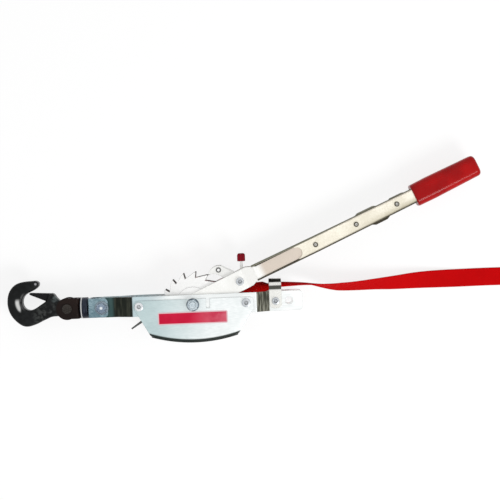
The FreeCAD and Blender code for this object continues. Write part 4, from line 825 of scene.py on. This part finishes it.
# A painted highlight in a streak inside the bowl, and painted light at the bowl's edge, the tip, the shank
# and the shoulder
bowl_highlight = between(away, *highlight_ring) * x.step(*highlight_front) * between(y, *highlight_height)
bowl_edge_reflection = between(away, *bowl_ring) * x.step(*bowl_front) * skin.step(0.3, 0.6)
tip_highlight = off_axis(here, *tip_spot).step(*tip_highlight_size)
shank_light = between(x, *shank_part) * skin.step(0.46, 0.62) * y.step(*shank_side)
shoulder_reflection = off_axis(here, *shoulder_spot).step(*shoulder_reflection_size) * skin.step(0.40, 0.58)
# The marks in turn: worn and lit edges, the bowl's painted highlight, and painted reflections at the bowl's
# edge, tip, shank and shoulder
for mark, metal in (
        (worn_and_lit_edges * 0.55, rgb(0.055, 0.056, 0.056)),
        (bowl_highlight * (0.65 + lumps * 0.5), rgb(0.72, 0.72, 0.71)),
        (bowl_edge_reflection * 0.6, rgb(0.10, 0.10, 0.10)),
        (tip_highlight * 0.8, rgb(0.42, 0.42, 0.44)),
        (shank_light * 0.5, rgb(0.075, 0.080, 0.076)),
        (shoulder_reflection * 0.6, rgb(0.12, 0.15, 0.15))):
    tone = mark.tint(tone, metal)
put(Base_Color=tone, Roughness=(skin * 0.5 + lumps * 0.5).step(0.35, 0.65, 0.18, 0.36))
put(Specular_IOR_Level=0.14, Normal=bump(here, skin * 0.5 + lumps, 0.22, 0.0008, Normal=eased))
dress(hook_material, "hook", "end_hook")
dress(plated("latch_black", rgb(0.008, 0.008, 0.009), rgb(0.002, 0.002, 0.003), roughness=0.28, metal=0.0,
             gloss=0.14, edges=0.0), "hook_latch", "hook_latch_pin", "end_hook_latch", "end_hook_latch_pin")

# Floor and light
# A plain white table under a soft white sky, with one soft lamp high over the view's lower right.
# Table and sky look whiter, to the camera and in what metal mirrors, than the light they give.
table_size = 16.0
table_paper = 0.88
table_glow = 1.10
table_glow_share = 0.72
sky_light = 0.62
sky_seen = 1.0
lamp_power = 16.0
lamp_size = 0.7
lamp_place = Vector((0.95, -0.85, 1.45))
lamp_aim = Vector((0.10, 0.05, 0.0))


def by_ray(tree, scattered, seen):
    """One level for scattered light, and another for what is seen, straight or in a gloss."""
    looks, glances, passes = [Signal(tree).node("ShaderNodeLightPath", None, None, kind) for kind in (
        "Is Camera Ray", "Is Glossy Ray", "Is Transmission Ray")]
    return (looks + glances + passes).step(0.0, 1.0, scattered, seen)


bpy.ops.mesh.primitive_plane_add(size=table_size, location=(0, 0, 0))
table = bpy.context.object
table.name = "table"
table_material = bpy.data.materials.new("table_white")
table_material.use_nodes = True
tree = table_material.node_tree
tree.nodes.remove(tree.nodes["Principled BSDF"])
glow = by_ray(tree, 0.0, table_glow_share)
paper = glow.node("ShaderNodeBsdfDiffuse", None, {"Color": rgb(table_paper, table_paper, table_paper)})
white = glow.node("ShaderNodeEmission", None, {"Strength": table_glow})
surface = glow.node("ShaderNodeMixShader", None, {0: glow, 1: paper, 2: white})
tree.links.new(surface.socket, tree.nodes["Material Output"].inputs["Surface"])
table.data.materials.append(table_material)
world = bpy.data.worlds.new("sky")
bpy.context.scene.world = world
world.use_nodes = True
background = world.node_tree.nodes["Background"]
background.inputs["Color"].default_value = rgb(1.0, 1.0, 1.0)
sky_level = by_ray(world.node_tree, sky_light, sky_seen)
world.node_tree.links.new(sky_level.socket, background.inputs["Strength"])
lamp_data = bpy.data.lights.new("soft_box", "AREA")
lamp_data.energy = lamp_power
lamp_data.size = lamp_size
lamp = bpy.data.objects.new("soft_box", lamp_data)
lamp.visible_camera = False
bpy.context.scene.collection.objects.link(lamp)
lamp.location = lamp_place
lamp.rotation_euler = (lamp_aim - lamp_place).to_track_quat("-Z", "Y").to_euler()
